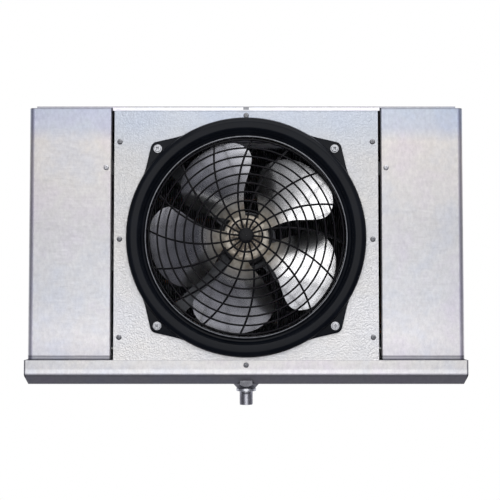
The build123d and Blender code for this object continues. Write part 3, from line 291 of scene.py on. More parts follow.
class Nodes(Tree):
    """The nodes of a new material."""

    def __init__(self, name):
        self.material = bpy.data.materials.new(name)
        self.material.use_nodes = True
        super().__init__(self.material.node_tree)
        self.shader = self.tree.nodes["Principled BSDF"]
        self.place = self.add("ShaderNodeTexCoord").outputs["Object"]

    def stretch(self, scale):
        return self.add("ShaderNodeMapping", {"Vector": self.place, "Scale": scale}).outputs["Vector"]

    def noise(self, scale, detail=3.0, rough=0.5, vector=None):
        inputs = {"Scale": scale, "Detail": detail, "Roughness": rough, "Vector": vector or self.place}
        return self.add("ShaderNodeTexNoise", inputs).outputs["Fac"]

    def bump(self, height, distance, strength=1.0, before=None):
        node = self.add("ShaderNodeBump", {"Height": height, "Distance": distance, "Strength": strength})
        if before:
            self.put(before, node.inputs["Normal"])
        return node.outputs["Normal"]

    def finish(self, color, rough, normal, metallic=0.0, specular=0.5):
        for socket, value in (("Base Color", color), ("Roughness", rough), ("Normal", normal),
                              ("Metallic", metallic), ("Specular IOR Level", specular)):
            self.put(value, self.shader.inputs[socket])
        return self.material


# ---------------------------------------------------------------- materials
def speckled_metal(name, dark, light, rough_low, rough_high, scale=60, grain=(1, 1, 1)):
    """Metal with soft patches of tone, uneven polish and a faint grain."""
    n = Nodes(name)
    patches = n.noise(scale, 4, 0.6)
    fine = n.noise(scale * 6, 3, 0.55, n.stretch(grain))
    color = n.ramp(n.mix(0.35, patches, fine), [(0.3, dark), (0.7, light)])
    return n.finish(color, n.span(fine, rough_low, rough_high), n.bump(fine, 0.00005, 0.5), 1.0)


def rolled_sheet(name, foot, top, tones, edge, edge_tones):
    """Rolled sheet with pearly mottling.

    Its tone changes with height from foot to top, and over the span of |x| that is its edge: painted light
    and shade given by the caller. Faces that look up have one plain tone in place of that painted tone.
    """
    n = Nodes(name)
    x, _, z = n.split(n.place)
    # Painted light and shade: the caller's tones by height, multiplied by its edge tones.
    tone = n.ramp(n.span(z, 0.0, 1.0, foot, top), tones)
    across = n.span(n.math("ABSOLUTE", x), 0.0, 1.0, *edge)
    tone = n.mix(1.0, tone, n.ramp(across, edge_tones), "MULTIPLY")
    upward = n.split(n.add("ShaderNodeNewGeometry").outputs["Normal"])["Z"]
    tone = n.mix(n.span(upward, 0.0, 1.0, 0.4, 0.7), tone, (0.70, 0.71, 0.73))
    patches = n.noise(13, 5, 0.62)
    pearl = n.ramp(patches, [(0.32, (0.90, 0.93, 1.0)), (0.5, (1.0, 0.985, 0.96)), (0.68, (0.97, 0.91, 0.98))])
    threads = n.noise(130, 5, 0.75, n.stretch((1.6, 1.0, 1.0)))
    weave = n.ramp(threads, [(0.35, (0.80, 0.80, 0.81)), (0.65, WHITE)])
    color = n.mix(0.75, n.mix(0.7, tone, pearl, "MULTIPLY"), weave, "MULTIPLY")
    drawn = n.noise(60, 4, 0.6, n.stretch((1.0, 1.0, 14.0)))
    dents = n.bump(patches, 0.0004, 0.3)
    return n.finish(color, n.span(drawn, 0.34, 0.46), n.bump(n.noise(900, 2), 0.00003, 0.35, dents), 0.82)


def mill_aluminium():
    """Painted reflections by height: cool at the top, warmer above the middle, pale and slightly violet at the
    foot; painted shadow lines along the foot hem and under the lid, and painted shade on the rounded outer bends.
    """
    # Painted shadow lines: cut is the dark of the shade along the foot hem and under the lid.
    cut = (0.17, 0.17, 0.20)
    tones = [
        (0.0, cut), (0.0125, cut), (0.0138, (0.50, 0.50, 0.53)), (0.0185, (0.56, 0.56, 0.59)), (0.0200, cut),
        (0.0225, cut), (0.0250, (0.82, 0.81, 0.84)), (0.09, (0.88, 0.87, 0.88)), (0.26, (0.70, 0.71, 0.735)),
        (0.515, (0.62, 0.62, 0.63)), (0.86, (0.68, 0.655, 0.63)), (0.915, (0.55, 0.58, 0.65)),
        (0.988, (0.53, 0.58, 0.66)), (0.990, cut), (1.0, cut)]
    # Painted shade on the rounded outer bends, darker and violet over COVER_EDGE.
    bend = [(0.0, WHITE), (0.22, WHITE), (0.4, (0.80, 0.79, 0.87)), (0.7, (0.76, 0.75, 0.84)), (0.8, WHITE)]
    return rolled_sheet("mill_aluminium", SHEET_FOOT, 0.0, tones, COVER_EDGE, bend)


def lid_aluminium():
    """The folded top: a bright flange, brightened towards the top by a painted highlight, with a painted
    shadow line under its upper bend; painted shade darkens its ends.
    """
    # Painted shadow line: cut is its dark.
    cut = (0.12, 0.12, 0.14)
    tones = [(0.0, (0.86, 0.88, 0.92)), (0.84, (0.98, 0.98, 1.0)), (0.88, cut), (1.0, cut)]
    # Painted shade: darker towards the ends over LID_EDGE.
    ends = [(0.0, WHITE), (0.6, WHITE), (0.7, (0.62, 0.64, 0.68)), (1.0, (0.66, 0.68, 0.72))]
    return rolled_sheet("lid_aluminium", LID_FOOT, 0.0, tones, LID_EDGE, ends)


def pan_aluminium():
    """Bright front face over an underside darkened by painted shade; a painted highlight on the rolled edge, a
    painted shadow line at the rim and painted shade at its ends.
    """
    # Painted light by height: shade below the knee, a highlight (WHITE) on the rolled edge, a shadow line at the
    # rim.
    underside_shade = (0.36, 0.355, 0.39)
    tones = [
        (0.0, underside_shade), (0.366, underside_shade), (0.38, (0.40, 0.40, 0.43)), (0.43, (0.60, 0.60, 0.64)), (0.48, WHITE),
        (0.57, WHITE), (0.66, (0.82, 0.81, 0.81)), (0.97, (0.84, 0.83, 0.81)), (1.0, (0.55, 0.55, 0.57))]
    # Painted shade: the ends over PAN_EDGE are darkened.
    ends = [(0.0, WHITE), (0.5, WHITE), (0.62, (0.22, 0.22, 0.25)), (1.0, (0.20, 0.20, 0.23))]
    return rolled_sheet("pan_aluminium", PAN_FLOOR, PAN_RIM, tones, PAN_EDGE, ends)


def stucco_aluminium():
    """Embossed sheet: small rounded pebbles; painted light makes it cooler towards the top and paler at the foot,
    and painted shade darkens the hollows between pebbles.
    """
    n = Nodes("stucco_aluminium")
    shifted = n.mix(0.004, n.place, n.noise(260, 2), "ADD")
    inputs = {"Scale": 420, "Smoothness": 0.8, "Vector": shifted}
    pebbles = n.add("ShaderNodeTexVoronoi", inputs, feature="SMOOTH_F1").outputs["Distance"]
    # Painted light by height: cooler towards the top and paler at the foot.
    tone = n.ramp(n.span(n.split(n.place)["Z"], 0.0, 1.0, SHEET_FOOT, 0.0), [
        (0.0, (0.92, 0.91, 0.90)), (0.15, (0.89, 0.88, 0.87)), (0.5, (0.73, 0.72, 0.70)),
        (0.8, (0.66, 0.655, 0.645)), (0.93, (0.59, 0.63, 0.69)), (1.0, (0.61, 0.65, 0.72))])
    patches = n.ramp(n.noise(11, 4, 0.6), [(0.3, (0.90, 0.93, 0.99)), (0.7, (1.0, 0.985, 0.95))])
    # Painted shade: the hollows between pebbles are darker than their tops.
    hollow_shade = n.ramp(pebbles, [(0.05, WHITE), (0.6, (0.90, 0.90, 0.905))])
    color = n.mix(0.8, n.mix(0.7, tone, patches, "MULTIPLY"), hollow_shade, "MULTIPLY")
    return n.finish(color, n.span(pebbles, 0.34, 0.48, 0.0, 0.6), n.bump(pebbles, 0.0005, 0.7), 0.82)


def galvanised():
    """Zinc coating with crystals of slightly different grey."""
    n = Nodes("galvanised")
    cells = n.add("ShaderNodeTexVoronoi", {"Scale": 85, "Vector": n.place})
    shade, polish, _ = n.add("ShaderNodeSeparateColor", {0: cells.outputs["Color"]}).outputs
    color = n.ramp(shade, [(0.0, (0.54, 0.555, 0.575)), (1.0, (0.68, 0.695, 0.71))])
    return n.finish(color, n.span(polish, 0.32, 0.55, 0.0, 1.0), n.bump(n.noise(400, 2), 0.00004, 0.4), 0.9)


def polished_blade():
    """Bright pressed aluminium with faint rolling lines, around a bronze-coloured spider plate; a warm painted
    highlight, less metallic, brightens the blade roots.
    """
    n = Nodes("polished_blade")
    lines = n.noise(160, 3, 0.6, n.stretch((1.0, 6.0, 14.0)))
    patches = n.noise(12)
    bright = n.ramp(patches, [(0.3, (0.78, 0.79, 0.80)), (0.7, (0.90, 0.90, 0.90))])
    stain = n.ramp(n.noise(110, 4, 0.7), [
        (0.36, (0.05, 0.04, 0.03)), (0.5, (0.20, 0.16, 0.12)), (0.66, (0.72, 0.66, 0.56))])
    # Warm tone of the outer spider plate, and a painted highlight on the blade roots.
    warm_plate_and_root_highlight = n.ramp(n.noise(70, 4, 0.6), [(0.34, (0.50, 0.42, 0.33)), (0.66, (0.88, 0.82, 0.72))])
    inputs = {"Vector": n.place, "Location": (0, 0, -FAN_Z), "Scale": (1, 0, 1)}
    centred = n.add("ShaderNodeMapping", inputs).outputs["Vector"]
    radius = n.add("ShaderNodeVectorMath", {0: centred}, operation="LENGTH").outputs["Value"]
    plate = n.mix(n.span(radius, 0.0, 1.0, 22 * MM, 34 * MM), stain, warm_plate_and_root_highlight)
    color = n.mix(n.span(radius, 0.0, 1.0, 44 * MM, 74 * MM), plate, bright)
    rough = n.span(n.mix(0.4, lines, patches), 0.2, 0.27)
    # Less metallic towards the centre, so that the painted root highlight shows in the base colour.
    metallic = n.span(radius, 0.3, 1.0, 40 * MM, 78 * MM)
    return n.finish(color, rough, n.bump(patches, 0.0003, 0.15), metallic)


def moulded_black():
    """Glossy navy-black moulding with a slight waviness."""
    n = Nodes("moulded_black")
    waves = n.noise(26)
    color = n.ramp(waves, [(0.3, (0.003, 0.004, 0.0065)), (0.7, (0.0055, 0.007, 0.011))])
    normal = n.bump(n.noise(700, 2), 0.00002, 0.3, n.bump(waves, 0.0005, 0.25))
    return n.finish(color, n.span(waves, 0.16, 0.25), normal, specular=0.13)


def coated_wire():
    n = Nodes("coated_wire")
    drips = n.noise(240)
    color = n.ramp(drips, [(0.3, (0.003, 0.003, 0.004)), (0.7, (0.007, 0.007, 0.009))])
    return n.finish(color, n.span(drips, 0.24, 0.36), n.bump(drips, 0.0001, 0.3), specular=0.13)


def soft_black(name, dark, light, rough_low, rough_high):
    n = Nodes(name)
    grain = n.noise(320, 3, 0.6)
    color = n.ramp(grain, [(0.3, dark), (0.7, light)])
    return n.finish(color, n.span(grain, rough_low, rough_high), n.bump(grain, 0.00015, 0.3))


def copper():
    """Drawn tube with darker, browner patches."""
    n = Nodes("copper")
    stain = n.noise(28, 5, 0.65)
    color = n.ramp(stain, [(0.3, (0.36, 0.14, 0.07)), (0.5, (0.66, 0.30, 0.17)), (0.75, (0.80, 0.42, 0.27))])
    return n.finish(color, n.span(stain, 0.42, 0.22), n.bump(n.noise(500, 2), 0.00003, 0.3), 1.0)


materials = {
    "mill": mill_aluminium(),
    "lid": lid_aluminium(),
    "pan": pan_aluminium(),
    "stucco": stucco_aluminium(),
    "galvanised": galvanised(),
    "blade": polished_blade(),
    "black": moulded_black(),
    "wire": coated_wire(),
    "copper": copper(),
    "fin": speckled_metal("fin_stock", (0.50, 0.51, 0.53), (0.64, 0.65, 0.67), 0.5, 0.65, 30),
    "brass": speckled_metal("brass", (0.52, 0.36, 0.13), (0.78, 0.58, 0.25), 0.2, 0.34, 60),
    "rim": speckled_metal("rim_wire", (0.07, 0.073, 0.08), (0.20, 0.205, 0.22), 0.14, 0.24, 120),
    "bolt": speckled_metal("bolt_zinc", (0.27, 0.275, 0.29), (0.50, 0.505, 0.52), 0.2, 0.32, 90),
    "cast": speckled_metal("cast_zinc", (0.10, 0.10, 0.11), (0.27, 0.27, 0.29), 0.22, 0.36, 80),
    # Painted shade: a darkened zinc for the motor mount, which sits in shade inside the box.
    "shaded_zinc": speckled_metal("zinc_in_painted_shade", (0.07, 0.073, 0.08), (0.15, 0.155, 0.165), 0.3, 0.45, 70),
    "dull_zinc": speckled_metal("dull_zinc", (0.66, 0.66, 0.68), (0.80, 0.80, 0.82), 0.5, 0.62, 90),
    "zinc": speckled_metal("zinc", (0.62, 0.63, 0.66), (0.86, 0.87, 0.90), 0.18, 0.32, 90),
    "dark_zinc": speckled_metal("dark_zinc", (0.25, 0.255, 0.27), (0.42, 0.425, 0.44), 0.42, 0.58, 120),
    "chrome": speckled_metal("plated_pipe", (0.50, 0.50, 0.53), (0.74, 0.74, 0.77), 0.10, 0.2, 70),
    "steel": speckled_metal("laminations", (0.16, 0.16, 0.17), (0.30, 0.30, 0.31), 0.35, 0.5, 90,
                            grain=(1, 30, 1)),
    "bronze": speckled_metal("bronze", (0.30, 0.19, 0.08), (0.50, 0.35, 0.16), 0.4, 0.55, 150),
    "rubber": soft_black("rubber", (0.012, 0.012, 0.012), (0.03, 0.03, 0.03), 0.6, 0.8),
    "enamel": soft_black("motor_enamel", (0.014, 0.014, 0.016), (0.03, 0.03, 0.034), 0.35, 0.5),
    "phenolic": soft_black("phenolic", (0.06, 0.055, 0.05), (0.12, 0.11, 0.10), 0.45, 0.6),
}
slot_material = {
    "cabinet_aluminium": "mill", "embossed_aluminium": "stucco", "galvanised_steel": "galvanised",
    "fin_aluminium": "fin", "copper": "copper", "brass": "brass", "black_plastic": "black",
    "black_wire": "wire", "blade_aluminium": "blade", "zinc_steel": "zinc", "dark_screw": "dark_zinc",
    "motor_black": "enamel", "laminated_steel": "steel", "bronze": "bronze", "black_rubber": "rubber",
    "grey_plastic": "phenolic", "pan_aluminium": "pan", "chromed_steel": "chrome",
}
# Painted shade: the cover clips in the dark gap beside the fan panel get black enamel, and the motor mount a
# darkened zinc.
node_material = {"top_panel": "lid", "cover_clips": "enamel", "drain_coupling": "cast", "motor_mount": "shaded_zinc"}


def dress_cad_nodes():
    """Gives every CAD node the finish of its slot, or the finish that node_material lists for that node."""
    for part in frame["record"]["subparts"]:
        node = frame["nodes"][part["node"]]
        finish = materials[node_material.get(part["node"], slot_material[part["material_slot"]])]
        node.data.materials.clear()
        node.data.materials.append(finish)


# ---------------------------------------------------------------- fan shroud
def shroud_profile():
    """Middle line of the moulded wall, from its foot on the panel to the end of the throat."""
    wall = 2.5 * MM
    middle = wall / 2
    crest = SHROUD_FRONT + middle
    throat = THROAT_R + middle
    points = [(SHROUD_R - middle, PANEL_FACE - MOULDING_GAP), (SHROUD_R - middle, crest), (CREST_R, crest),
              (RIM_R + 7 * MM, GUARD_SEAT + 1.5 * MM), (throat, GUARD_SEAT + 3.5 * MM), (throat, SHROUD_BACK)]
    line = fillet_profile(points, [9 * MM, 4 * MM, 3 * MM, 2.5 * MM])
    return thicken_profile(line, wall)


def ear_edge(turn, angle):
    """Point of the rounded tip of the ear at turn, in the direction angle from the tip's middle."""
    return Vector((EAR_REACH * math.cos(turn) + EAR_R * math.cos(angle),
                   EAR_REACH * math.sin(turn) + EAR_R * math.sin(angle)))


def ear_flank(turn, side, lean):
    """Straight flank from the tip of an ear, blended into the ring by a hollow curve; and the angle it spans."""
    ring = SHROUD_R - 0.6 * MM
    blend = 17 * MM
    steps = 8
    a = turn + side * lean
    start = ear_edge(turn, a)
    along = Vector((-math.sin(a), math.cos(a))) * side
    inward = start.dot(along)
    run = -inward - math.sqrt(inward ** 2 - start.length_squared + ring ** 2)
    corner = start + along * run
    end = polar(ring, math.atan2(corner.y, corner.x) + side * blend / ring)
    leave = start + along * (run - blend)
    curve = [(1 - u) ** 2 * leave + 2 * u * (1 - u) * corner + u ** 2 * end
             for u in (k / steps for k in range(steps + 1))]
    return curve, end.angle(polar(1.0, turn))


def ear_outline(turn):
    """Rounded tip of one ear, its two flanks and its foot inside the ring, in the plane of the panel."""
    lean = math.acos((SHROUD_R - 1.0 * MM - EAR_R) / EAR_REACH) + math.radians(5.5)
    steps = 8
    tip = [ear_edge(turn, turn - lean + 2 * lean * k / steps) for k in range(steps + 1)]
    before, _ = ear_flank(turn, -1, lean)
    after, spread = ear_flank(turn, 1, lean)
    foot = [polar(0.982 * SHROUD_R, turn + spread * t) for t in (0.95, 0.6, 0.3, 0.0, -0.3, -0.6, -0.95)]
    return before[::-1] + tip + after + foot


def make_ear(turn, index):
    outline = ear_outline(turn)
    foot = PANEL_FACE - MOULDING_GAP
    work = bmesh.new()
    back = [work.verts.new((p.x, foot, FAN_Z + p.y)) for p in outline]
    front = [work.verts.new((p.x, foot - EAR_HEIGHT, FAN_Z + p.y)) for p in outline]
    work.faces.new(back)
    top = work.faces.new(front[::-1])
    for i in range(len(outline)):
        j = (i + 1) % len(outline)
        work.faces.new((back[i], front[i], front[j], back[j]))
    bmesh.ops.recalc_face_normals(work, faces=work.faces)
    bmesh.ops.bevel(work, geom=list(top.edges), offset=1.6 * MM, segments=4, affect="EDGES", profile=0.5)
    name = f"shroud_ear_{index}"
    mesh = bpy.data.meshes.new(name)
    work.to_mesh(mesh)
    work.free()
    ear = place_mesh(name, mesh, materials["black"])
    sharpen(ear, 40)
    return ear


def make_shroud():
    ring = lathe("shroud_ring", shroud_profile(), materials["black"], 256)
    ledge_front = GUARD_SEAT + RIM_WIRE + 0.15 * MM
    ledge_back = ledge_front + 3 * MM
    outer = THROAT_R + 1.7 * MM
    inner = 155 * MM
    profile = [(outer, ledge_front), (inner + 0.8 * MM, ledge_front), (inner, ledge_front + 0.8 * MM),
               (inner, ledge_back - 0.5 * MM), (inner + 0.5 * MM, ledge_back), (outer, ledge_back)]
    ledge = lathe("shroud_ledge", profile, materials["black"], 256)
    pieces = [ring, ledge]
    for k in range(4):
        pieces.append(make_ear(math.radians(45 + 90 * k), k + 1))
    for piece in pieces:
        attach(piece, "cabinet")
        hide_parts("fan_shroud")


# ---------------------------------------------------------------- wire guard
def dome(r):
    return GUARD_SEAT - GUARD_DOME * (1 - (r / RIM_R) ** DOME_POWER)


def dome_slope(r):
    return (dome(r + 0.5 * MM) - dome(r - 0.5 * MM)) / MM


def make_guard():
    """Swirled spokes, rings welded in front of them, heavier rim and stamped centre disc."""
    end = RIM_R - RIM_WIRE - 0.2 * MM
    steps = 30
    spokes = []
    for k in range(SPOKES):
        path = []
        for i in range(steps + 1):
            r = SPOKE_START + (end - SPOKE_START) * i / steps
            turn = SPOKE_PHASE + 2 * math.pi * k / SPOKES - SPOKE_SWIRL * (r - SPOKE_START) / (RIM_R - SPOKE_START)
            path.append(on_fan_axis(r, dome(r), turn))
        spokes.append(path)
    welded = 0.9
    rings = []
    for k in range(RING_COUNT):
        r = FIRST_RING + (LAST_RING - FIRST_RING) * k / (RING_COUNT - 1)
        y = dome(r) - (SPOKE_WIRE + RING_WIRE * welded) * math.sqrt(1 + dome_slope(r) ** 2)
        rings.append(hoop(r, y, 160))
    rim = [hoop(RIM_R, GUARD_SEAT, 200)]
    y = dome(SPOKE_START) - SPOKE_WIRE - 0.3 * MM
    centre = 0.2 * MM
    profile = [(centre, y), (DISC_R, y), (DISC_R, y - 0.8 * MM), (DISC_R - 0.5 * MM, y - 1.6 * MM),
               (DISC_R - 1.6 * MM, y - 2.1 * MM), (DISC_R * 0.5, y - 2.6 * MM), (centre, y - 2.8 * MM)]
    pieces = [(wires("guard_spoke_wires", spokes, SPOKE_WIRE, materials["wire"]), "guard_spokes"),
              (wires("guard_ring_wires", rings, RING_WIRE, materials["wire"], closed=True), "guard_rings"),
              (wires("guard_rim_wire", rim, RIM_WIRE, materials["rim"], 16, True), "guard_rings"),
              (lathe("guard_centre", profile, materials["wire"], 64), "guard_disc")]
    for piece, node in pieces:
        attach(piece, "cabinet")
        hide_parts(node)


# ---------------------------------------------------------------- coil
def make_fins():
    """Close pack of waved fins, so that no straight look passes through the coil."""
    low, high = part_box("coil_fins")
    wave = 2.2 * MM
    waves = 4
    pitch = 4.2 * MM
    half_sheet = 0.1 * MM
    count = int((high.x - low.x - 2 * wave) / pitch) + 1
    first = (low.x + high.x) / 2 - pitch * (count - 1) / 2
    steps = 32
    line = [(wave * math.sin(2 * math.pi * waves * i / steps), low.y + (high.y - low.y) * i / steps)
            for i in range(steps + 1)]
    vertices = []
    faces = []
    for k in range(count):
        x = first + k * pitch
        base = len(vertices)
        for side in (-half_sheet, half_sheet):
            for shift, y in line:
                vertices += [(x + shift + side, y, low.z), (x + shift + side, y, high.z)]
        other = 2 * (steps + 1)
        for i in range(steps):
            a = base + 2 * i
            b = a + other
            faces += [(a, a + 1, a + 3, a + 2), (b, b + 2, b + 3, b + 1)]
            faces += [(a, a + 2, b + 2, b), (a + 1, b + 1, b + 3, a + 3)]
        end = base + 2 * steps
        faces += [(base, base + other, base + other + 1, base + 1)]
        faces += [(end, end + 1, end + other + 1, end + other)]
    piece = new_object("coil_fin_pack", vertices, faces, materials["fin"])
    sharpen(piece, 60)
    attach(piece, "cabinet")
    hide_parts("coil_fins")


# ---------------------------------------------------------------- screws
def cross_depth(x, y, width, length):
    """How deep a cross recess is at a place on a screw head, from 0 to 1, with sloping walls."""
    floor, wall = 0.55, 0.45
    depth = 0.0
    for u, v in ((x, y), (y, x)):
        across = max(0.0, 1 - max(0.0, abs(u) - width * floor) / (width * wall))
        along = max(0.0, 1 - max(0.0, abs(v) - length * floor) / (length * wall))
        depth = max(depth, across * along)
    return depth


def head_mesh(radius, height, hex_flats=0.0, washer_r=0.0, washer_h=0.0, turn=0.0):
    """Screw head on the origin, facing -Y: domed, or hexagonal on its washer, with a cross recess."""
    rings = 26
    around = 60
    sector = math.pi / 3
    cosine, sine = math.cos(turn), math.sin(turn)
    vertices = []
    for i in range(rings + 1):
        t = i / rings
        for j in range(around):
            a = 2 * math.pi * j / around
            if hex_flats:
                r = hex_flats / 2 / math.cos((a % sector) - sector / 2) * t
                top = height - max(0.0, r - hex_flats / 2 * 0.97) * 0.55
            else:
                r = radius * t
                top = height * (1 - 0.75 * t ** 3.2)
            x = r * math.cos(a)
            z = r * math.sin(a)
            recess = 0.45 * height * cross_depth(x, z, radius * 0.13, radius * 0.52)
            vertices.append((x * cosine - z * sine, -(top - recess), x * sine + z * cosine))
    faces = grid_faces(rings + 1, around, True)
    base = len(vertices)
    last = [Vector(v) for v in vertices[-around:]]
    vertices += [(v.x, -washer_h, v.z) for v in last]
    levels = 1
    if washer_r:
        for edge_r, level in ((washer_r * 0.96, washer_h), (washer_r, washer_h * 0.75), (washer_r, 0.0)):
            vertices += [(x, -level, z) for x, z in circle(edge_r, around, turn)]
            levels += 1
    for level in range(levels):
        start = base + (level - 1) * around
        for j in range(around):
            k = (j + 1) % around
            faces.append((start + j, start + k, start + around + k, start + around + j))
    faces.append(tuple(range(base + (levels - 1) * around, base + levels * around)))
    return vertices, faces


def make_screws(name, node, places, finish, slot_name, body, seed, **head):
    """All the screws of one node: heads with their own turn, and shanks behind them.

    A place is the middle of a head's seat, 1 for a head that faces -Y or -1 for one that faces +Y, and
    the radius and length of the shank.
    """
    chance = random.Random(seed)
    steps = 20
    vertices = []
    faces = []
    for (x, y, z), facing, shank_r, shank in places:
        part_vertices, part_faces = head_mesh(turn=chance.uniform(0, math.pi / 2), **head)
        start = len(part_vertices)
        for depth in (0.0, shank):
            part_vertices += [(u, depth, v) for u, v in circle(shank_r, steps)]
        part_faces += [tuple(start + k for k in face) for face in grid_faces(2, steps, True)]
        part_faces.append(tuple(range(start, start + steps)))
        part_faces.append(tuple(range(start + steps, start + 2 * steps)))
        base = len(vertices)
        vertices += [(x + v[0], y + facing * v[1], z + v[2]) for v in part_vertices]
        faces += [tuple(base + k for k in face) for face in part_faces]
    piece = new_object(name, vertices, faces, materials[finish])
    sharpen(piece, 38)
    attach(piece, body)
    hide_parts(node)


def node_islands(node):
    """Box of each separate solid of a CAD node, in the shared frame, sorted by place to be the same each run."""
    source = frame["nodes"][node]
    work = bmesh.new()
    work.from_mesh(source.data)
    bmesh.ops.remove_doubles(work, verts=work.verts, dist=0.00002)
    left = set(work.verts)
    boxes = []
    for first in work.verts:
        if first not in left:
            continue
        left.remove(first)
        stack = [first]
        members = [first]
        while stack:
            for edge in stack.pop().link_edges:
                for vertex in edge.verts:
                    if vertex in left:
                        left.remove(vertex)
                        stack.append(vertex)
                        members.append(vertex)
        points = [source.matrix_world @ v.co for v in members]
        low = Vector([min(p[i] for p in points) for i in range(3)])
        high = Vector([max(p[i] for p in points) for i in range(3)])
        boxes.append((low, high))
    work.free()
    cell = 20 * MM
    return sorted(boxes, key=lambda box: [round(value / cell) for value in (box[0] + box[1]) / 2])


def dress_screws():
    """Pan heads on the sheets and hexagonal washer heads on the ears of the shroud."""
    head = {"radius": 4.2 * MM, "height": 1.9 * MM}
    for node, finish, slot_name, body, seed, shank_r in (
            ("panel_screws", "dark_zinc", "dark_screw", "cabinet", 3, 2.0 * MM),
            ("cover_screws", "dull_zinc", "zinc_steel", "cabinet", 5, 2.0 * MM),
            ("pan_screw", "dark_zinc", "dark_screw", "pan_assembly", 8, 1.75 * MM)):
        places = []
        for low, high in node_islands(node):
            facing = 1 if high.y < 0 else -1
            seat = low.y + head["height"] if facing > 0 else high.y - head["height"]
            middle = ((low.x + high.x) / 2, seat, (low.z + high.z) / 2)
            places.append((middle, facing, shank_r, high.y - low.y - head["height"]))
        make_screws(node + "_detail", node, places, finish, slot_name, body, seed, **head)
    head = {"radius": 5.2 * MM, "height": 6.0 * MM, "hex_flats": 9.5 * MM, "washer_r": 6.7 * MM,
            "washer_h": 1.4 * MM}
    places = []
    for low, high in node_islands("guard_screws"):
        seat = low.y + head["height"]
        middle = ((low.x + high.x) / 2, seat, (low.z + high.z) / 2)
        places.append((middle, 1, 3.0 * MM, high.y - seat))
    make_screws("guard_screws_detail", "guard_screws", places, "bolt", "zinc_steel", "cabinet", 11, **head)


# ---------------------------------------------------------------- drain nipple
def make_nipple():
    """Pipe nipple with a thread on its free end that runs out towards the coupling."""
    low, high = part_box("drain_nipple")
    centre = Vector(((low.x + high.x) / 2, (low.y + high.y) / 2))
    outer = (high.x - low.x) / 2
    root = 10.4 * MM
    bore = 7.9 * MM
    threaded = 21.4 * MM
    pitch = 1.81 * MM
    depth = 0.9 * MM
    lead = 0.5 * MM
    around = 72
    per_pitch = 16
    rows = int(threaded / pitch * per_pitch)
    vertices = []
    for i in range(rows + 1):
        z = low.z + threaded * i / rows
        begun = min(1.0, (z - low.z) / (2 * pitch) + 0.35)
        runout = max(0.0, min(1.0, (low.z + threaded - z) / (2.5 * pitch)))
        for j in range(around):
            a = 2 * math.pi * j / around
            tooth = 1 - abs(2 * ((i / per_pitch - j / around) % 1.0) - 1)
            r = outer - depth * (1 - tooth) * runout - lead * (1 - begun)
            vertices.append((centre.x + r * math.cos(a), centre.y + r * math.sin(a), z))
    profile = [(root, low.z + threaded), (root, high.z), (bore, high.z), (bore, low.z + 0.6 * MM),
               (bore + 0.5 * MM, low.z)]
    for r, z in profile:
        vertices += [(centre.x + x, centre.y + y, z) for x, y in circle(r, around)]
    faces = grid_faces(rows + 1 + len(profile), around, True, True)
    piece = new_object("drain_nipple_threaded", vertices, faces, materials["chrome"])
    sharpen(piece, 30)
    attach(piece, "pan_assembly")
    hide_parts("drain_nipple")


# ---------------------------------------------------------------- stage, camera, light
def rays(n, *names):
    """Share that is 1 for the named kinds of ray."""
    path = n.add("ShaderNodeLightPath")
    share = path.outputs[names[0]]
    for name in names[1:]:
        share = n.math("MAXIMUM", share, path.outputs[name])
    return share


def make_floor():
    """Pale floor well below the hanging unit; it shows white to the camera, with the shadow."""
    half = 2.6
    level = -1.3
    n = Nodes("floor")
    n.put((0.8, 0.8, 0.8), n.shader.inputs["Base Color"])
    n.put(0.9, n.shader.inputs["Roughness"])
    glow = n.add("ShaderNodeEmission", {"Strength": 1.0}).outputs[0]
    share = n.math("MULTIPLY", rays(n, "Is Camera Ray", "Is Transmission Ray"), 0.85)
    pale = n.add("ShaderNodeMixShader", {0: share, 1: n.shader.outputs[0], 2: glow}).outputs[0]
    clear = n.add("ShaderNodeBsdfTransparent").outputs[0]
    open_to_metal = n.add("ShaderNodeMixShader", {0: rays(n, "Is Glossy Ray"), 1: pale, 2: clear}).outputs[0]
    n.put(open_to_metal, n.tree.nodes["Material Output"].inputs["Surface"])
    corners = [(-half, -half, level), (half, -half, level), (half, half, level), (-half, half, level)]
    floor = new_object("floor", corners, [(0, 1, 2, 3)], n.material, smooth=False)


def sky(n, height, stops):
    """Brightness by height, a little bluer where it is dark."""
    return n.ramp(height, [(place, (level, level, level * (1.22 - 0.2 * level))) for place, level in stops])


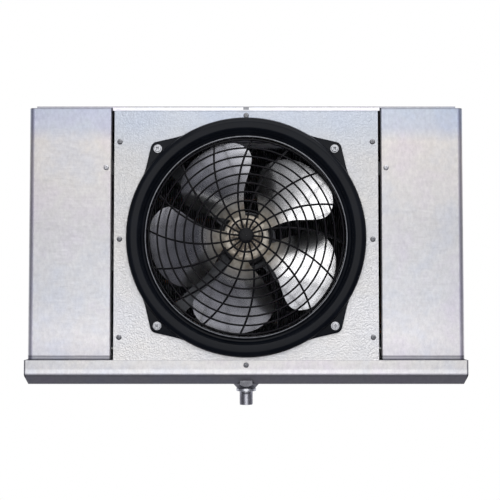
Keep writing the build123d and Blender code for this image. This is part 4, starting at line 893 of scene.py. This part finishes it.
def make_world():
    """White to the camera; metal sees a studio, white above and grey towards the ground, with dark flags."""
    world = bpy.data.worlds.new("studio")
    bpy.context.scene.world = world
    world.use_nodes = True
    n = Tree(world.node_tree)
    x, y, z = n.split(n.add("ShaderNodeTexCoord").outputs["Generated"])
    height = n.span(z, 0.0, 1.0, -1.0, 1.0)
    ahead = sky(n, height, [
        (0.0, 0.07), (0.22, 0.08), (0.33, 0.14), (0.42, 0.28), (0.56, 0.57), (0.66, 0.88), (1.0, 0.88)])
    behind = sky(n, height, [(0.0, 0.35), (0.35, 0.5), (0.6, 0.82), (1.0, 0.88)])
    sides = n.span(n.math("ABSOLUTE", x), 1.0, 0.4, 0.60, 0.72)
    corner = n.math("MULTIPLY", n.span(x, 0.0, 1.0, -0.30, -0.52), n.span(z, 0.0, 1.0, 0.2, 0.35))
    flags = n.math("MULTIPLY", sides, n.math("SUBTRACT", 1.0, n.math("MULTIPLY", corner, 0.62)))
    flagged = n.add("ShaderNodeVectorMath", {0: ahead, "Scale": flags}, operation="SCALE").outputs["Vector"]
    studio = n.mix(n.span(y, 0.0, 1.0, 0.05, 0.3), flagged, behind)
    lit = n.mix(rays(n, "Is Glossy Ray"), (0.55, 0.56, 0.58), studio)
    shown = n.mix(rays(n, "Is Camera Ray", "Is Transmission Ray"), lit, WHITE)
    background = n.tree.nodes["Background"]
    n.put(shown, background.inputs["Color"])
    n.put(1.0, background.inputs["Strength"])


def soft_box(name, place, target, size, brightness, color):
    """Rectangular lamp; at a brightness of 1 it shows white in a mirror."""
    light = bpy.data.lights.new(name, "AREA")
    light.shape = "RECTANGLE"
    light.size = size[0]
    light.size_y = size[1]
    light.energy = 4 * brightness * size[0] * size[1]
    light.color = color
    lamp = bpy.data.objects.new(name, light)
    lamp.location = place
    lamp.rotation_euler = (Vector(target) - Vector(place)).to_track_quat("-Z", "Y").to_euler()
    bpy.context.scene.collection.objects.link(lamp)


def make_lights():
    centre = (0, 0, -0.22)
    soft_box("front", (0.0, -2.9, 0.0), centre, (2.2, 1.6), 1.0, (1.0, 1.0, 0.99))
    soft_box("key", (0.5, -1.7, 1.9), centre, (2.8, 2.0), 0.93, (1.0, 0.99, 0.97))


def make_camera():
    """View from the front, from slightly below the middle and looking up a little."""
    camera = bpy.data.cameras.new("camera")
    camera.sensor_width = 36.0
    distance = 1.6
    frame_width = 0.7764
    front = cad_low.y + 0.04
    camera.lens = camera.sensor_width * distance / frame_width
    eye = bpy.data.objects.new("camera", camera)
    eye.location = (0.006, front - distance, -0.301)
    eye.rotation_euler = (math.radians(92.67), 0, 0)
    bpy.context.scene.collection.objects.link(eye)
    bpy.context.scene.camera = eye


make_camera()
make_world()
make_floor()
make_lights()
dress_cad_nodes()
make_shroud()
make_guard()
make_fins()
dress_screws()
make_nipple()

bpy.context.scene.view_settings.view_transform = "Standard"
